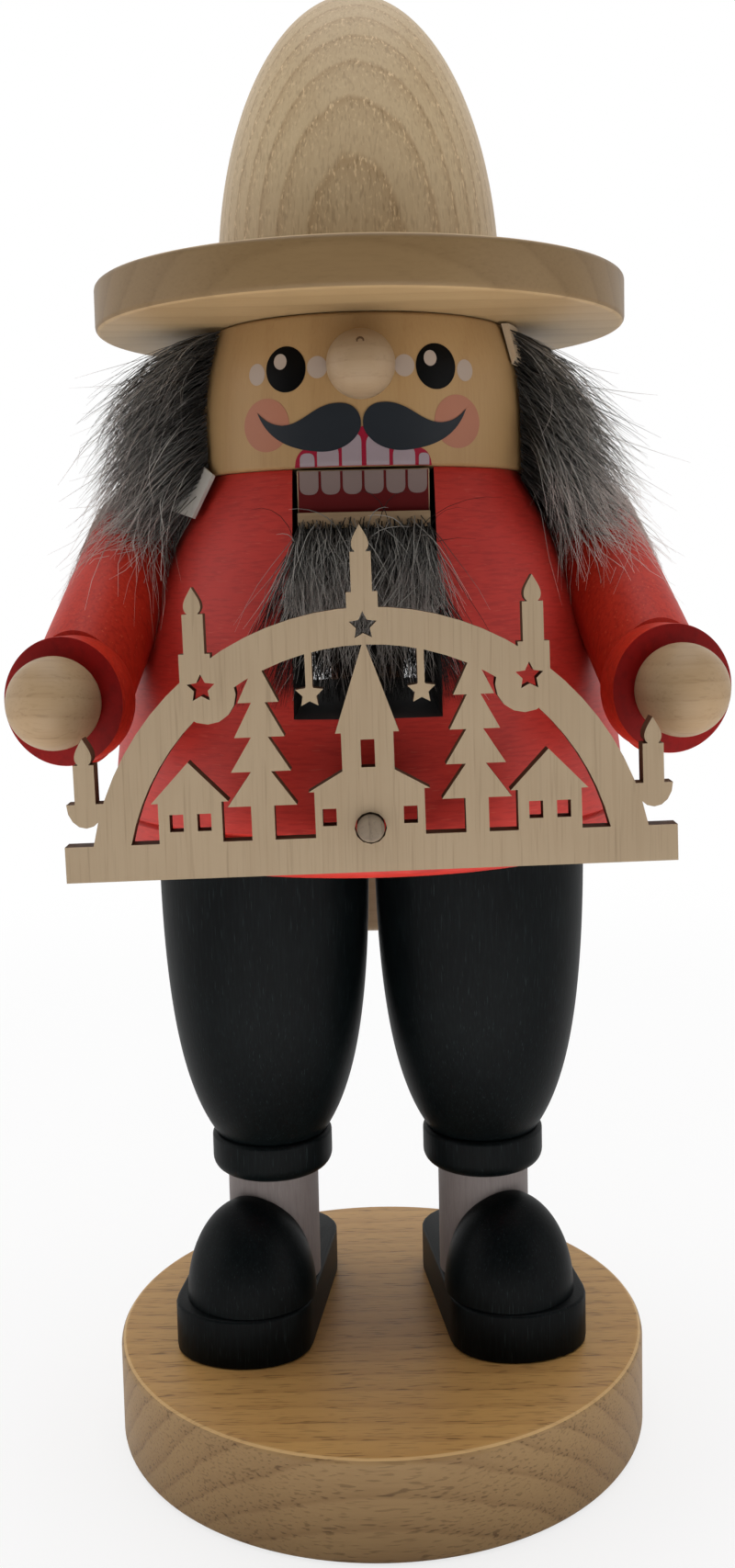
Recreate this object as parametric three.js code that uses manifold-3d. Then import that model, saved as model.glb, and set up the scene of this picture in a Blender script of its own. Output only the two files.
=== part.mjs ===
import * as THREE from 'three';
import { mergeVertices } from 'three/addons/utils/BufferGeometryUtils.js';
import Module from 'manifold-3d';

const wasm = await Module();
wasm.setup();

// A turned wooden nutcracker that faces -Y, stands on Z = 0 and carries a fretwork candle arch.
// Driving dimensions in millimetres and degrees.

// Clearances
const glueLine = 0.1;
const fitGap = 0.3;
const jawSideGap = 1;
const jawTopGap = 0.4;

// Facets
const roundSides = 40;
const legSides = 24;
const ballSides = 20;
const dowelSides = 12;
const arcSteps = 2;
const curveSteps = 8;
const bandSteps = 32;
const bossSides = 16;
const searchSteps = 30;
const weldDistance = 1e-4;

// Base
const baseRadius = 57;
const baseThickness = 21;
const baseEdgeRound = 1.5;

// Shoes
const soleThickness = 10.4;
const soleInnerReach = 10.2;
const soleOuterReach = 19;
const soleToeReach = 24.8;
const soleHeelReach = 33;
const soleEndLength = 12;
const toeOut = 7.5;
const toeCapHeight = 20.4;
const toeCapLength = 27;
const toeCapMargin = 0.8;
const toeCapInset = 1.2;

// Legs
const legSpread = 23;
const sockRadius = 9.8;
const sockLength = 24;
const sockTenonRadius = 5;
const sockTenonDepth = 10;
const trouserRadius = 22.4;
const trouserLength = 65;
const trouserNeckRadius = 12;
const trouserFullness = 29;
const trouserTaper = 12;
const trouserCalfInset = 2;
const cuffRollRadius = 13;
const cuffRollLength = 8.5;
const cuffRollRound = 3;
const cuffRollEdge = 1;

// Coat body
const bodyHeight = 75;
const bodyBaseRadius = 53.5;
const bodyTopRadius = 32.5;
const bodyFullness = 23;
const shoulderSlope = 20;
const shoulderRun = 11;
const hemHeight = 8;
const hemRound = 2.5;
const hemGrooveWidth = 1.2;
const hemGrooveDepth = 0.8;
const slotWidth = 27;
const slotDepth = 46;

// Dowels
const dowelRadius = 4;
const dowelDepth = 10;
const neckDowelRadius = 3;
const neckDowelSpread = 22.5;
const shoulderDowelRadius = 2.5;
const shoulderDowelDepth = 8;
const shoulderDowelReach = 14.4;

// Jaw lever
const pivotSetback = 16;
const pivotDrop = 20;
const pinRadius = 2.5;
const pinInset = 0.6;
const teethStandOff = 0.5;
const teethHeight = 8;
const teethThickness = 3.5;
const chinLedge = 2;
const jawHeight = 27.6;
const jawLength = 30.5;
const nutHollowRadius = 11;
const armThickness = 20;
const armDrop = 23;
const handleWidth = 18;
const handleThickness = 7;
const handleStandOff = 2.5;
const handleLength = 88;
const handleShoulderAngle = 60;
const leverOverlap = 3;

// Head
const headHeight = 29.2;
const headRadius = 34.1;
const headTaperStart = 10;
const headTopRadius = 30.2;
const headEdgeRound = 0.8;
const noseRadius = 6.4;
const noseHeight = 18.4;
const noseStandOff = 4;
const noseTenonRadius = 2.5;
const noseTenonDepth = 8;

// Fur
const hairFrontAngle = 63;
const hairBackAngle = 140;
const hairThickness = 6;
const hairBulge = 27.6;
const hairEdgeBulge = 18.4;
const hairDrop = 14;
const hairBackBulge = 19.2;
const hairBackEdgeBulge = 12.8;
const hairBackDrop = 5;
const beardDrop = 3.6;
const beardLength = 32;
const beardThickness = 6;
const beardBulge = 9;

// Hat
const brimRadius = 54.3;
const brimThickness = 9.5;
const brimEdgeRound = 1.2;
const crownHeight = 57.2;
const crownRadius = 29;
const crownTopRadius = 3;

// Arms
const sleeveRadius = 10;
const sleeveEndRound = 2.5;
const shoulderDrop = 12;
const shoulderStandOff = 8.5;
const wristDrop = 42.4;
const wristAngle = 33.3;
const wristStandOff = 16;
const cuffRadius = 12.1;
const cuffLength = 6;
const cuffSplay = 15;
const handRadius = 8.7;
const handStandOff = 3.8;
const handTenonRadius = 2.5;
const handTenonDepth = 8;

// Candle arch
const archThickness = 4;
const archStandOff = 6.5;
const archTilt = 1;
const barOverhang = 4.1;
const barHeight = 6.3;
const bandOuterRadius = 48.9;
const bandWidth = 6.4;
const bandCentreDrop = 3.1;
const starPoints = 5;
const starRadius = 2.5;
const starBossRadius = 5;
const starBossInset = 1.5;
const sideStarAngle = 38;
const pegRadius = 2.4;
const pegHeight = 11.4;
const pegAboveBar = 1.4;
const pegDepth = 10;
const pegProud = 1.6;
const candleWidth = 3.6;
const candleHeight = 6.8;
const flameWidth = 2.8;
const flameHeight = 4.2;
const holderWidth = 5.4;
const holderHeight = 2.6;
const midCandleReach = 29;
const lowHolderWidth = 6.6;
const lowHolderHeight = 4.2;
const lowHolderBite = 0.2;
const seatSink = 1;

// Village cut into the arch
const firGap = 3;
const firWidth = 12;
const firTopWidth = 5.4;
const firTiers = 4;
const firNotchShare = 1 / 3;
const cottageGap = 4.9;
const cottageWidth = 11;
const cottageWall = 7;
const cottageRoof = 7;
const cottageEaves = 1.2;
const towerWidth = 9;
const towerWall = 18;
const naveWidth = 19;
const naveWall = 8;
const naveRoof = 6;
const churchEaves = 1;
const windowWidth = 2.4;
const windowHeight = 3;
const towerWindowSill = 12;
const towerWindowHeight = 4.8;
const hangingStarReach = 9.6;
const hangingStarDrop = 7;
const hangerWidth = 1.2;

// Heights that follow from the sizes above
const soleBottom = baseThickness + glueLine;
const soleTop = soleBottom + soleThickness;
const sockBottom = soleTop + glueLine;
const sockTop = sockBottom + sockLength;
const cuffRollBottom = sockTop + glueLine;
const trouserBottom = cuffRollBottom + cuffRollLength;
const trouserTop = trouserBottom + trouserLength;
const bodyBottom = trouserTop + glueLine;
const bodyTop = bodyBottom + bodyHeight;
const headBottom = bodyTop + glueLine;
const headTop = headBottom + headHeight;
const brimBottom = headTop + glueLine;
const brimTop = brimBottom + brimThickness;
const crownBottom = brimTop + glueLine;

// Finishes
const finish = (color, roughness) => new THREE.MeshStandardMaterial({ color, roughness, metalness: 0 });
const beech = finish('#ac8963', 0.55);
const ash = finish('#97795a', 0.6);
const honeyWood = finish('#a58255', 0.5);
const birchPly = finish('#a28f77', 0.65);
const redPaint = finish('#a83428', 0.45);
const blackPaint = finish('#0e1213', 0.4);
const whitePaint = finish('#968c8a', 0.5);
const greyFur = finish('#6e6764', 0.95);

// Points, arcs and solids
const at = (across, up) => new THREE.Vector2(across, up);
const point = (x, y, z) => new THREE.Vector3(x, y, z);
const radians = THREE.MathUtils.degToRad;
const upward = point(0, 0, 1);

function arc(centreX, centreY, radius, from, to, steps = arcSteps) {
  if (radius === 0) return [at(centreX, centreY)];
  const angle = (step) => radians(from + (to - from) * step / steps);
  return Array.from({ length: steps + 1 }, (_, step) => at(
    centreX + radius * Math.cos(angle(step)),
    centreY + radius * Math.sin(angle(step)),
  ));
}

function turned(profile, sides = roundSides) {
  return new THREE.LatheGeometry(profile, sides).rotateX(Math.PI / 2);
}

function aimed(geometry, from, to) {
  const direction = to.clone().sub(from).normalize();
  const turn = new THREE.Quaternion().setFromUnitVectors(upward, direction);
  return geometry.applyQuaternion(turn).translate(from.x, from.y, from.z);
}

function disc(radius, bottom, top, bottomRound = 0, topRound = 0, sides = roundSides) {
  return turned([
    at(0, bottom),
    ...arc(radius - bottomRound, bottom + bottomRound, bottomRound, -90, 0),
    ...arc(radius - topRound, top - topRound, topRound, 0, 90),
    at(0, top),
  ], sides);
}

function rod(radius, from, to, sides = dowelSides) {
  const length = from.distanceTo(to);
  return aimed(turned([at(0, 0), at(radius, 0), at(radius, length), at(0, length)], sides), from, to);
}

// A faceted bore whose flats clear a faceted dowel of the given radius
function boreRadius(radius) {
  return (radius + fitGap) / Math.cos(Math.PI / dowelSides);
}

function uprightRod(radius, x, y, bottom, top) {
  return rod(radius, point(x, y, bottom), point(x, y, top));
}

function plate(outline, thickness) {
  return new THREE.ExtrudeGeometry(outline, { depth: thickness, bevelEnabled: false });
}

function solidOf(geometry) {
  const bare = new THREE.BufferGeometry();
  bare.setAttribute('position', geometry.attributes.position.clone());
  bare.setIndex(geometry.index);
  const merged = mergeVertices(bare, weldDistance);
  const index = merged.index.array;
  const triangles = [];
  for (let corner = 0; corner < index.length; corner += 3) {
    const [a, b, c] = index.slice(corner, corner + 3);
    if (a !== b && b !== c && c !== a) triangles.push(a, b, c);
  }
  return new wasm.Manifold(new wasm.Mesh({
    numProp: 3,
    vertProperties: Float32Array.from(merged.attributes.position.array),
    triVerts: Uint32Array.from(triangles),
  }));
}

function geometryOf(solid) {
  const mesh = solid.getMesh();
  const geometry = new THREE.BufferGeometry();
  geometry.setAttribute('position', new THREE.BufferAttribute(mesh.vertProperties, 3));
  geometry.setIndex(new THREE.BufferAttribute(mesh.triVerts, 1));
  return geometry;
}

function cut(geometry, ...tools) {
  return geometryOf(tools.reduce((solid, tool) => solid.subtract(solidOf(tool)), solidOf(geometry)));
}

function join(geometry, ...others) {
  return geometryOf(others.reduce((solid, other) => solid.add(solidOf(other)), solidOf(geometry)));
}

function common(geometry, other) {
  return geometryOf(solidOf(geometry).intersect(solidOf(other)));
}

function piece(name, geometry, material) {
  const mesh = new THREE.Mesh(geometry, material);
  mesh.name = name;
  return mesh;
}

const sides = [['left', -1], ['right', 1]];

// Coat body curve, used by everything that rests on the coat
const hemTop = bodyBottom + hemHeight;
const coatCurve = new THREE.CubicBezierCurve(
  at(bodyBaseRadius, hemTop),
  at(bodyBaseRadius, hemTop + bodyFullness),
  at(bodyTopRadius + shoulderRun, bodyTop - shoulderSlope),
  at(bodyTopRadius, bodyTop),
);

function coatRadiusAt(height) {
  let low = 0;
  let high = 1;
  for (let step = 0; step < searchSteps; step += 1) {
    const middle = (low + high) / 2;
    if (coatCurve.getPoint(middle).y < height) low = middle;
    else high = middle;
  }
  return coatCurve.getPoint(low).x;
}

function coatProfile(allowance = 0) {
  const grown = coatCurve.getPoints(curveSteps).map((spot) => at(spot.x + allowance, spot.y));
  return [
    at(0, bodyBottom - allowance),
    ...arc(bodyBaseRadius - hemRound + allowance, bodyBottom + hemRound - allowance, hemRound, -90, 0),
    ...grown,
    at(bodyTopRadius + allowance, bodyTop + allowance),
    at(0, bodyTop + allowance),
  ];
}

// Base
function makeBase() {
  const plain = disc(baseRadius, 0, baseThickness, baseEdgeRound, baseEdgeRound);
  const bores = sides.map(([, side]) => uprightRod(
    boreRadius(sockTenonRadius), side * legSpread, 0, baseThickness - sockTenonDepth - fitGap, soleTop,
  ));
  return piece('base_disc', cut(plain, ...bores), beech);
}

// Shoe sole: straight sides between two rounded ends
function soleOutline(side) {
  const middle = (soleOuterReach - soleInnerReach) / 2;
  const halfWidth = (soleOuterReach + soleInnerReach) / 2;
  const roundedEnd = (from, tip, inward) => new THREE.CubicBezierCurve(
    at(middle - from * halfWidth, tip + inward * soleEndLength),
    at(middle - from * halfWidth, tip - inward * soleEndLength / 3),
    at(middle + from * halfWidth, tip - inward * soleEndLength / 3),
    at(middle + from * halfWidth, tip + inward * soleEndLength),
  ).getPoints(2 * curveSteps);
  const outline = [...roundedEnd(1, -soleToeReach, 1), ...roundedEnd(-1, soleHeelReach, -1)];
  return new THREE.Shape(outline.map((spot) => at(side * spot.x, spot.y)));
}

// Toe cap: half an egg on the front of the sole, hollowed where the sock stands
function toeCapGeometry(side) {
  const middle = side * ((soleOuterReach - soleInnerReach) / 2 - toeCapInset);
  const halfWidth = (soleOuterReach + soleInnerReach) / 2 - toeCapMargin;
  const dome = turned([at(0, 0), ...arc(0, 0, 1, 0, 90, curveSteps)], ballSides);
  dome.scale(halfWidth, toeCapLength / 2, toeCapHeight);
  dome.translate(middle, -soleToeReach + toeCapMargin + toeCapLength / 2, soleTop + glueLine);
  return cut(dome, uprightRod(boreRadius(sockRadius), 0, 0, soleBottom, sockTop));
}

function sockProfile() {
  const footEnd = baseThickness - sockTenonDepth;
  const topEnd = sockTop + sockTenonDepth;
  return [
    at(0, footEnd),
    at(sockTenonRadius, footEnd),
    at(sockTenonRadius, sockBottom),
    at(sockRadius, sockBottom),
    at(sockRadius, sockTop),
    at(sockTenonRadius, sockTop),
    at(sockTenonRadius, topEnd),
    at(0, topEnd),
  ];
}

// Trouser leg: a swelling thigh over a narrow neck and a rolled cuff
function trouserGeometry() {
  const thigh = new THREE.CubicBezierCurve(
    at(trouserNeckRadius, trouserBottom),
    at(trouserRadius - trouserCalfInset, trouserBottom + trouserTaper),
    at(trouserRadius, trouserTop - trouserFullness),
    at(trouserRadius, trouserTop),
  );
  const profile = [
    at(0, cuffRollBottom),
    ...arc(cuffRollRadius - cuffRollRound, cuffRollBottom + cuffRollRound, cuffRollRound, -90, 0),
    ...arc(cuffRollRadius - cuffRollEdge, trouserBottom - cuffRollEdge, cuffRollEdge, 0, 90, 1),
    ...thigh.getPoints(curveSteps),
    at(0, trouserTop),
  ];
  const sockBore = uprightRod(boreRadius(sockTenonRadius), 0, 0, soleTop, sockTop + sockTenonDepth + fitGap);
  const hipBore = uprightRod(boreRadius(dowelRadius), 0, 0, trouserTop - dowelDepth - fitGap, bodyTop);
  return cut(turned(profile, legSides), sockBore, hipBore);
}

function makeLeg(name, side) {
  const leg = new THREE.Group();
  leg.position.x = side * legSpread;
  const shoe = new THREE.Group();
  shoe.rotation.z = radians(side * toeOut);
  const sole = plate(soleOutline(side), soleThickness).translate(0, 0, soleBottom);
  const tenonHole = uprightRod(boreRadius(sockTenonRadius), 0, 0, 0, sockTop);
  shoe.add(
    piece(`sole_${name}`, cut(sole, tenonHole), blackPaint),
    piece(`toe_cap_${name}`, toeCapGeometry(side), blackPaint),
  );
  const hipDowel = uprightRod(dowelRadius, 0, 0, trouserTop - dowelDepth, bodyBottom + dowelDepth);
  leg.add(
    shoe,
    piece(`leg_dowel_${name}`, turned(sockProfile(), legSides), whitePaint),
    piece(`trouser_${name}`, trouserGeometry(), blackPaint),
    piece(`hip_dowel_${name}`, hipDowel, beech),
  );
  return leg;
}

// Jaw lever places, shared by the slot, the pin, the beard and the handle
const pivotY = pivotSetback;
const pivotZ = bodyTop - pivotDrop;
const teethFront = -bodyTopRadius - teethStandOff;
const jawTop = bodyTop - jawTopGap;
const chinFront = teethFront - chinLedge;
const chinTop = jawTop - teethHeight;
const chinBottom = jawTop - jawHeight;
const jawBack = chinFront + jawLength;
const jawWidth = slotWidth - 2 * jawSideGap;
const handleFront = bodyBaseRadius + handleStandOff;
const handleBack = handleFront + handleThickness;
const handleTop = jawTop - armDrop;

// Side outlines drawn as (forward, up) and extruded across the figure
function acrossFigure(outline, width) {
  const shape = new THREE.Shape(outline.map((spot) => at(-spot.x, spot.y)));
  const block = plate(shape, width);
  block.translate(0, 0, -width / 2);
  return block.rotateX(Math.PI / 2).rotateZ(-Math.PI / 2);
}

function jawOutline() {
  const hollowFront = teethFront + teethThickness;
  return [
    at(chinFront, chinBottom),
    at(jawBack, chinBottom),
    at(jawBack, jawTop),
    ...arc(hollowFront + nutHollowRadius, jawTop, nutHollowRadius, 0, -180, curveSteps),
    at(teethFront, jawTop),
    at(teethFront, chinTop),
    at(chinFront, chinTop),
  ];
}

function handleOutline() {
  const handleEnd = handleTop - handleLength;
  const endRadius = handleThickness / 2;
  return [
    at(jawBack - leverOverlap, chinBottom + leverOverlap),
    at(pivotY, pivotZ - armThickness / 2),
    at(handleFront - handleThickness, handleTop - armThickness / 2),
    at(handleFront, handleTop - armThickness),
    ...arc(handleFront + endRadius, handleEnd + endRadius, endRadius, 180, 360, curveSteps),
    ...arc(handleFront, handleTop - handleThickness, handleThickness, 0, handleShoulderAngle),
    at(pivotY, pivotZ + armThickness / 2),
    at(jawBack - leverOverlap, jawTop - leverOverlap),
  ];
}

function pinBetween(radius, halfLength) {
  return rod(radius, point(-halfLength, pivotY, pivotZ), point(halfLength, pivotY, pivotZ));
}

function makeLever() {
  const pinBore = pinBetween(boreRadius(pinRadius), slotWidth);
  const whole = join(acrossFigure(jawOutline(), jawWidth), acrossFigure(handleOutline(), handleWidth));
  return piece('jaw_lever', cut(whole, pinBore), honeyWood);
}

function pinHalfLength() {
  const coat = coatRadiusAt(pivotZ);
  return Math.sqrt(coat ** 2 - pivotY ** 2) - pinInset;
}

function makePin() {
  return piece('pivot_pin', pinBetween(pinRadius, pinHalfLength()), beech);
}

// Beard: a pad of fur glued to the chin and hanging in the slot
function makeBeard() {
  const top = chinTop - beardDrop;
  const back = chinFront - fitGap;
  const front = new THREE.QuadraticBezierCurve(
    at(back - beardThickness, top),
    at(back - beardThickness - beardBulge, top - beardLength),
    at(back - beardBulge, top - beardLength),
  );
  const outline = [at(back, top), ...front.getPoints(curveSteps), at(back, chinBottom)];
  return piece('beard_fur', acrossFigure(outline, jawWidth), greyFur);
}

// Arms: sleeve from shoulder to wrist, cut square to the cuff and coped to the coat
function armPlaces(side) {
  const shoulderZ = bodyTop - shoulderDrop;
  const wristZ = bodyTop - wristDrop;
  const wristReach = coatRadiusAt(wristZ) + wristStandOff;
  const angle = radians(wristAngle);
  const splay = radians(cuffSplay);
  const forward = point(side * Math.sin(splay), -Math.cos(splay), 0);
  const shoulder = point(side * (coatRadiusAt(shoulderZ) + shoulderStandOff), 0, shoulderZ);
  const wrist = point(side * wristReach * Math.cos(angle), -wristReach * Math.sin(angle), wristZ);
  const ahead = (distance) => wrist.clone().addScaledVector(forward, distance);
  return { shoulder, wrist, ahead };
}

function sleeveSolid(side, allowance = 0) {
  const { shoulder, wrist, ahead } = armPlaces(side);
  const length = shoulder.distanceTo(wrist) + 2 * sleeveRadius;
  const radius = sleeveRadius + allowance;
  const bar = aimed(disc(radius, -allowance, length, sleeveEndRound, 0, legSides), shoulder, wrist);
  const cuffSpace = rod(4 * sleeveRadius, ahead(allowance - fitGap), ahead(length));
  return cut(bar, cuffSpace);
}

function shoulderDowelEnds(side) {
  const { shoulder, wrist } = armPlaces(side);
  const along = wrist.clone().sub(shoulder).normalize();
  const outer = shoulder.clone().addScaledVector(along, shoulderDowelReach);
  const inner = point(side * (coatRadiusAt(outer.z) - shoulderDowelDepth), outer.y, outer.z);
  return [inner, outer];
}

function handGeometry(side) {
  const { ahead } = armPlaces(side);
  const buried = Math.sqrt(handRadius ** 2 - handTenonRadius ** 2);
  const seam = THREE.MathUtils.radToDeg(Math.asin(handTenonRadius / handRadius)) - 90;
  const profile = [
    at(0, -buried - handTenonDepth),
    at(handTenonRadius, -buried - handTenonDepth),
    ...arc(0, 0, handRadius, seam, 90, curveSteps),
  ];
  const centre = cuffLength + handStandOff;
  return aimed(turned(profile, ballSides), ahead(centre), ahead(centre + handRadius));
}

function handTenonBore(side) {
  const { ahead } = armPlaces(side);
  const centre = cuffLength + handStandOff;
  const depth = handRadius + handTenonDepth + fitGap;
  return rod(boreRadius(handTenonRadius), ahead(centre - depth), ahead(centre));
}

function cuffGeometry(side) {
  const { wrist, ahead } = armPlaces(side);
  const band = aimed(disc(cuffRadius, 0, cuffLength, 0, 0, legSides), wrist, ahead(cuffLength));
  const handSeat = ball(handRadius + fitGap, ahead(cuffLength + handStandOff));
  return cut(band, handSeat, handTenonBore(side));
}

// A bore that clears the shoulder dowel at its sides and both its ends
function shoulderBore(side) {
  const [inner, outer] = shoulderDowelEnds(side);
  const clearance = point(side * fitGap, 0, 0);
  return rod(boreRadius(shoulderDowelRadius), inner.clone().sub(clearance), outer.clone().add(clearance));
}

function makeArm(name, side) {
  const arm = new THREE.Group();
  const [inner, outer] = shoulderDowelEnds(side);
  const coat = turned(coatProfile(fitGap));
  const sleeve = cut(sleeveSolid(side), coat, shoulderBore(side), handTenonBore(side));
  arm.add(
    piece(`sleeve_${name}`, sleeve, redPaint),
    piece(`shoulder_dowel_${name}`, rod(shoulderDowelRadius, inner, outer), beech),
    piece(`cuff_${name}`, cuffGeometry(side), redPaint),
    piece(`hand_${name}`, handGeometry(side), honeyWood),
  );
  return arm;
}

// Candle arch places, shared by the peg and its bores
const pegZ = bodyBottom + pegHeight;
const archBack = -bodyBaseRadius - archStandOff;
const archFront = archBack - archThickness;
const pegInArch = barHeight + pegAboveBar;
const bandInnerRadius = bandOuterRadius - bandWidth;
const barHalfWidth = bandOuterRadius + barOverhang;

function makePeg() {
  const inner = point(0, -bodyBaseRadius + pegDepth, pegZ);
  const outer = point(0, archFront - pegProud, pegZ);
  return piece('arch_peg', rod(pegRadius, outer, inner), beech);
}

// Coat body with the through slot for the jaw and the bores for every dowel
function makeBody() {
  const slot = new THREE.BoxGeometry(slotWidth, 3 * bodyBaseRadius, 2 * slotDepth);
  slot.translate(0, 0, bodyTop);
  const grooveHeight = hemTop - hemGrooveWidth / 2;
  const groove = turned([
    at(bodyBaseRadius + hemGrooveDepth, grooveHeight - hemGrooveWidth),
    at(bodyBaseRadius + hemGrooveDepth, grooveHeight + hemGrooveWidth),
    at(bodyBaseRadius - hemGrooveDepth, grooveHeight),
    at(bodyBaseRadius + hemGrooveDepth, grooveHeight - hemGrooveWidth),
  ]);
  const pinBore = pinBetween(boreRadius(pinRadius), pinHalfLength() + 2 * pinInset);
  const pegBore = rod(
    boreRadius(pegRadius), point(0, archFront, pegZ), point(0, -bodyBaseRadius + pegDepth + fitGap, pegZ),
  );
  const bores = sides.flatMap(([, side]) => {
    const hipEnd = bodyBottom + dowelDepth + fitGap;
    const neckEnd = bodyTop - dowelDepth - fitGap;
    return [
      uprightRod(boreRadius(dowelRadius), side * legSpread, 0, 0, hipEnd),
      uprightRod(boreRadius(neckDowelRadius), side * neckDowelSpread, 0, neckEnd, headTop),
      shoulderBore(side),
    ];
  });
  const shell = cut(turned(coatProfile()), slot, groove, pinBore, pegBore, ...bores);
  return piece('coat_body', shell, redPaint);
}

// Head, tapering towards the hat
function headProfile(allowance = 0) {
  const taperStart = headBottom + headTaperStart;
  const taper = new THREE.QuadraticBezierCurve(
    at(headRadius, taperStart),
    at(headRadius, taperStart + (headTop - taperStart) / 2),
    at(headTopRadius, headTop),
  );
  const roundX = headRadius - headEdgeRound + allowance;
  const roundZ = headBottom + headEdgeRound - allowance;
  return [
    at(0, headBottom - allowance),
    ...arc(roundX, roundZ, headEdgeRound, -90, 0),
    ...taper.getPoints(curveSteps / 2).map((spot) => at(spot.x + allowance, spot.y)),
    at(headTopRadius + allowance, headTop + allowance),
    at(0, headTop + allowance),
  ];
}

const noseCentre = point(0, -headRadius - noseStandOff, headBottom + noseHeight);

function ball(radius, centre) {
  const sphere = new THREE.SphereGeometry(radius, ballSides, ballSides / 2);
  return sphere.translate(centre.x, centre.y, centre.z);
}

function makeHead() {
  const head = new THREE.Group();
  const neckBores = sides.map(([, side]) => uprightRod(
    boreRadius(neckDowelRadius), side * neckDowelSpread, 0, bodyBottom, headBottom + dowelDepth + fitGap,
  ));
  const hatBore = uprightRod(boreRadius(dowelRadius), 0, 0, headTop - dowelDepth - fitGap, brimTop);
  const tenonEnd = noseCentre.clone().setY(-headRadius + noseTenonDepth);
  const boreEnd = tenonEnd.clone().setY(tenonEnd.y + fitGap);
  const noseBore = rod(boreRadius(noseTenonRadius), noseCentre, boreEnd);
  const noseSeat = ball(noseRadius + fitGap, noseCentre);
  const block = cut(turned(headProfile()), hatBore, noseSeat, noseBore, ...neckBores);
  const nose = join(ball(noseRadius, noseCentre), rod(noseTenonRadius, noseCentre, tenonEnd));
  head.add(piece('head', block, honeyWood), piece('nose', nose, honeyWood));
  for (const [name, side] of sides) {
    const dowel = uprightRod(
      neckDowelRadius, side * neckDowelSpread, 0, bodyTop - dowelDepth, headBottom + dowelDepth,
    );
    head.add(piece(`neck_dowel_${name}`, dowel, beech));
  }
  return head;
}

// Hair: thick fur glued round the sides and back of the head, cut clear of coat and sleeves
function hairProfile(bulge, edgeBulge, drop) {
  const top = headTop - fitGap;
  const bottom = headBottom - drop;
  const outer = new THREE.CubicBezierCurve(
    at(headTopRadius + hairThickness, top),
    at(headRadius + edgeBulge, top - hairThickness),
    at(headRadius + bulge, headBottom + hairThickness),
    at(headRadius + edgeBulge, bottom),
  );
  const inner = headRadius / 2;
  return [at(inner, bottom), ...outer.getPoints(curveSteps).reverse(), at(inner, top), at(inner, bottom)];
}

function sector(from, to) {
  const reach = 3 * headRadius;
  const corners = arc(0, 0, reach, from - 90, to - 90, curveSteps);
  return plate(new THREE.Shape([at(0, 0), ...corners]), headTop);
}

function makeHair() {
  const hair = new THREE.Group();
  const head = turned(headProfile(fitGap));
  const coat = turned(coatProfile(fitGap));
  const halfSlit = THREE.MathUtils.radToDeg(fitGap / headRadius) / 2;
  const backWedge = sector(hairBackAngle + halfSlit, 360 - hairBackAngle - halfSlit);
  const backRing = turned(hairProfile(hairBackBulge, hairBackEdgeBulge, hairBackDrop), legSides);
  hair.add(piece('hair_back', cut(common(backRing, backWedge), head, coat), greyFur));
  const sideRing = turned(hairProfile(hairBulge, hairEdgeBulge, hairDrop), legSides);
  for (const [name, side] of sides) {
    const front = side > 0 ? hairFrontAngle : 360 - hairBackAngle + halfSlit;
    const rear = side > 0 ? hairBackAngle - halfSlit : 360 - hairFrontAngle;
    const lock = common(sideRing, sector(front, rear));
    hair.add(piece(`hair_${name}`, cut(lock, head, coat, sleeveSolid(side, fitGap)), greyFur));
  }
  return hair;
}

// Hat: a thick round brim under a tall domed crown
function makeHat() {
  const hat = new THREE.Group();
  const boreEnd = crownBottom + dowelDepth + fitGap;
  const bore = uprightRod(boreRadius(dowelRadius), 0, 0, headTop - dowelDepth, boreEnd);
  const brim = disc(brimRadius, brimBottom, brimTop, brimEdgeRound, brimEdgeRound);
  const topAngle = THREE.MathUtils.radToDeg(Math.acos(crownTopRadius / crownRadius));
  const dome = arc(0, 0, 1, 0, topAngle, curveSteps).map((spot) => at(
    crownRadius * spot.x,
    crownBottom + crownHeight * spot.y / Math.sin(radians(topAngle)),
  ));
  const crownTop = crownBottom + crownHeight;
  const crown = turned([at(0, crownBottom), ...dome, at(0, crownTop)]);
  const dowel = uprightRod(dowelRadius, 0, 0, headTop - dowelDepth, crownBottom + dowelDepth);
  hat.add(
    piece('hat_brim', cut(brim, bore), ash),
    piece('hat_crown', cut(crown, bore), ash),
    piece('hat_dowel', dowel, beech),
  );
  return hat;
}

// Arch drawing helpers. The drawing lies in (across, up) with the bar's bottom middle at zero.
function rectangle(middle, bottom, width, height) {
  return [
    at(middle - width / 2, bottom),
    at(middle + width / 2, bottom),
    at(middle + width / 2, bottom + height),
    at(middle - width / 2, bottom + height),
  ];
}

function star(middle, height) {
  return Array.from({ length: 2 * starPoints }, (_, corner) => {
    const reach = corner % 2 ? starRadius / 2 : starRadius;
    const angle = radians(90 + 180 / starPoints * corner);
    return at(middle + reach * Math.cos(angle), height + reach * Math.sin(angle));
  });
}

function bandFootAngle(radius) {
  return THREE.MathUtils.radToDeg(Math.asin((barHeight + bandCentreDrop) / radius));
}

function archBandOutline() {
  const outerFoot = bandFootAngle(bandOuterRadius);
  return [
    at(barHalfWidth, 0),
    at(barHalfWidth, barHeight),
    ...arc(0, -bandCentreDrop, bandOuterRadius, outerFoot, 180 - outerFoot, bandSteps),
    at(-barHalfWidth, barHeight),
    at(-barHalfWidth, 0),
  ];
}

function bandOpening() {
  const foot = bandFootAngle(bandInnerRadius);
  return arc(0, -bandCentreDrop, bandInnerRadius, foot, 180 - foot, bandSteps);
}

function bandTopAt(reach, radius) {
  return Math.sqrt(radius ** 2 - reach ** 2) - bandCentreDrop;
}

function bandReachAt(height, radius) {
  return Math.sqrt(radius ** 2 - (height + bandCentreDrop) ** 2);
}

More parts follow.
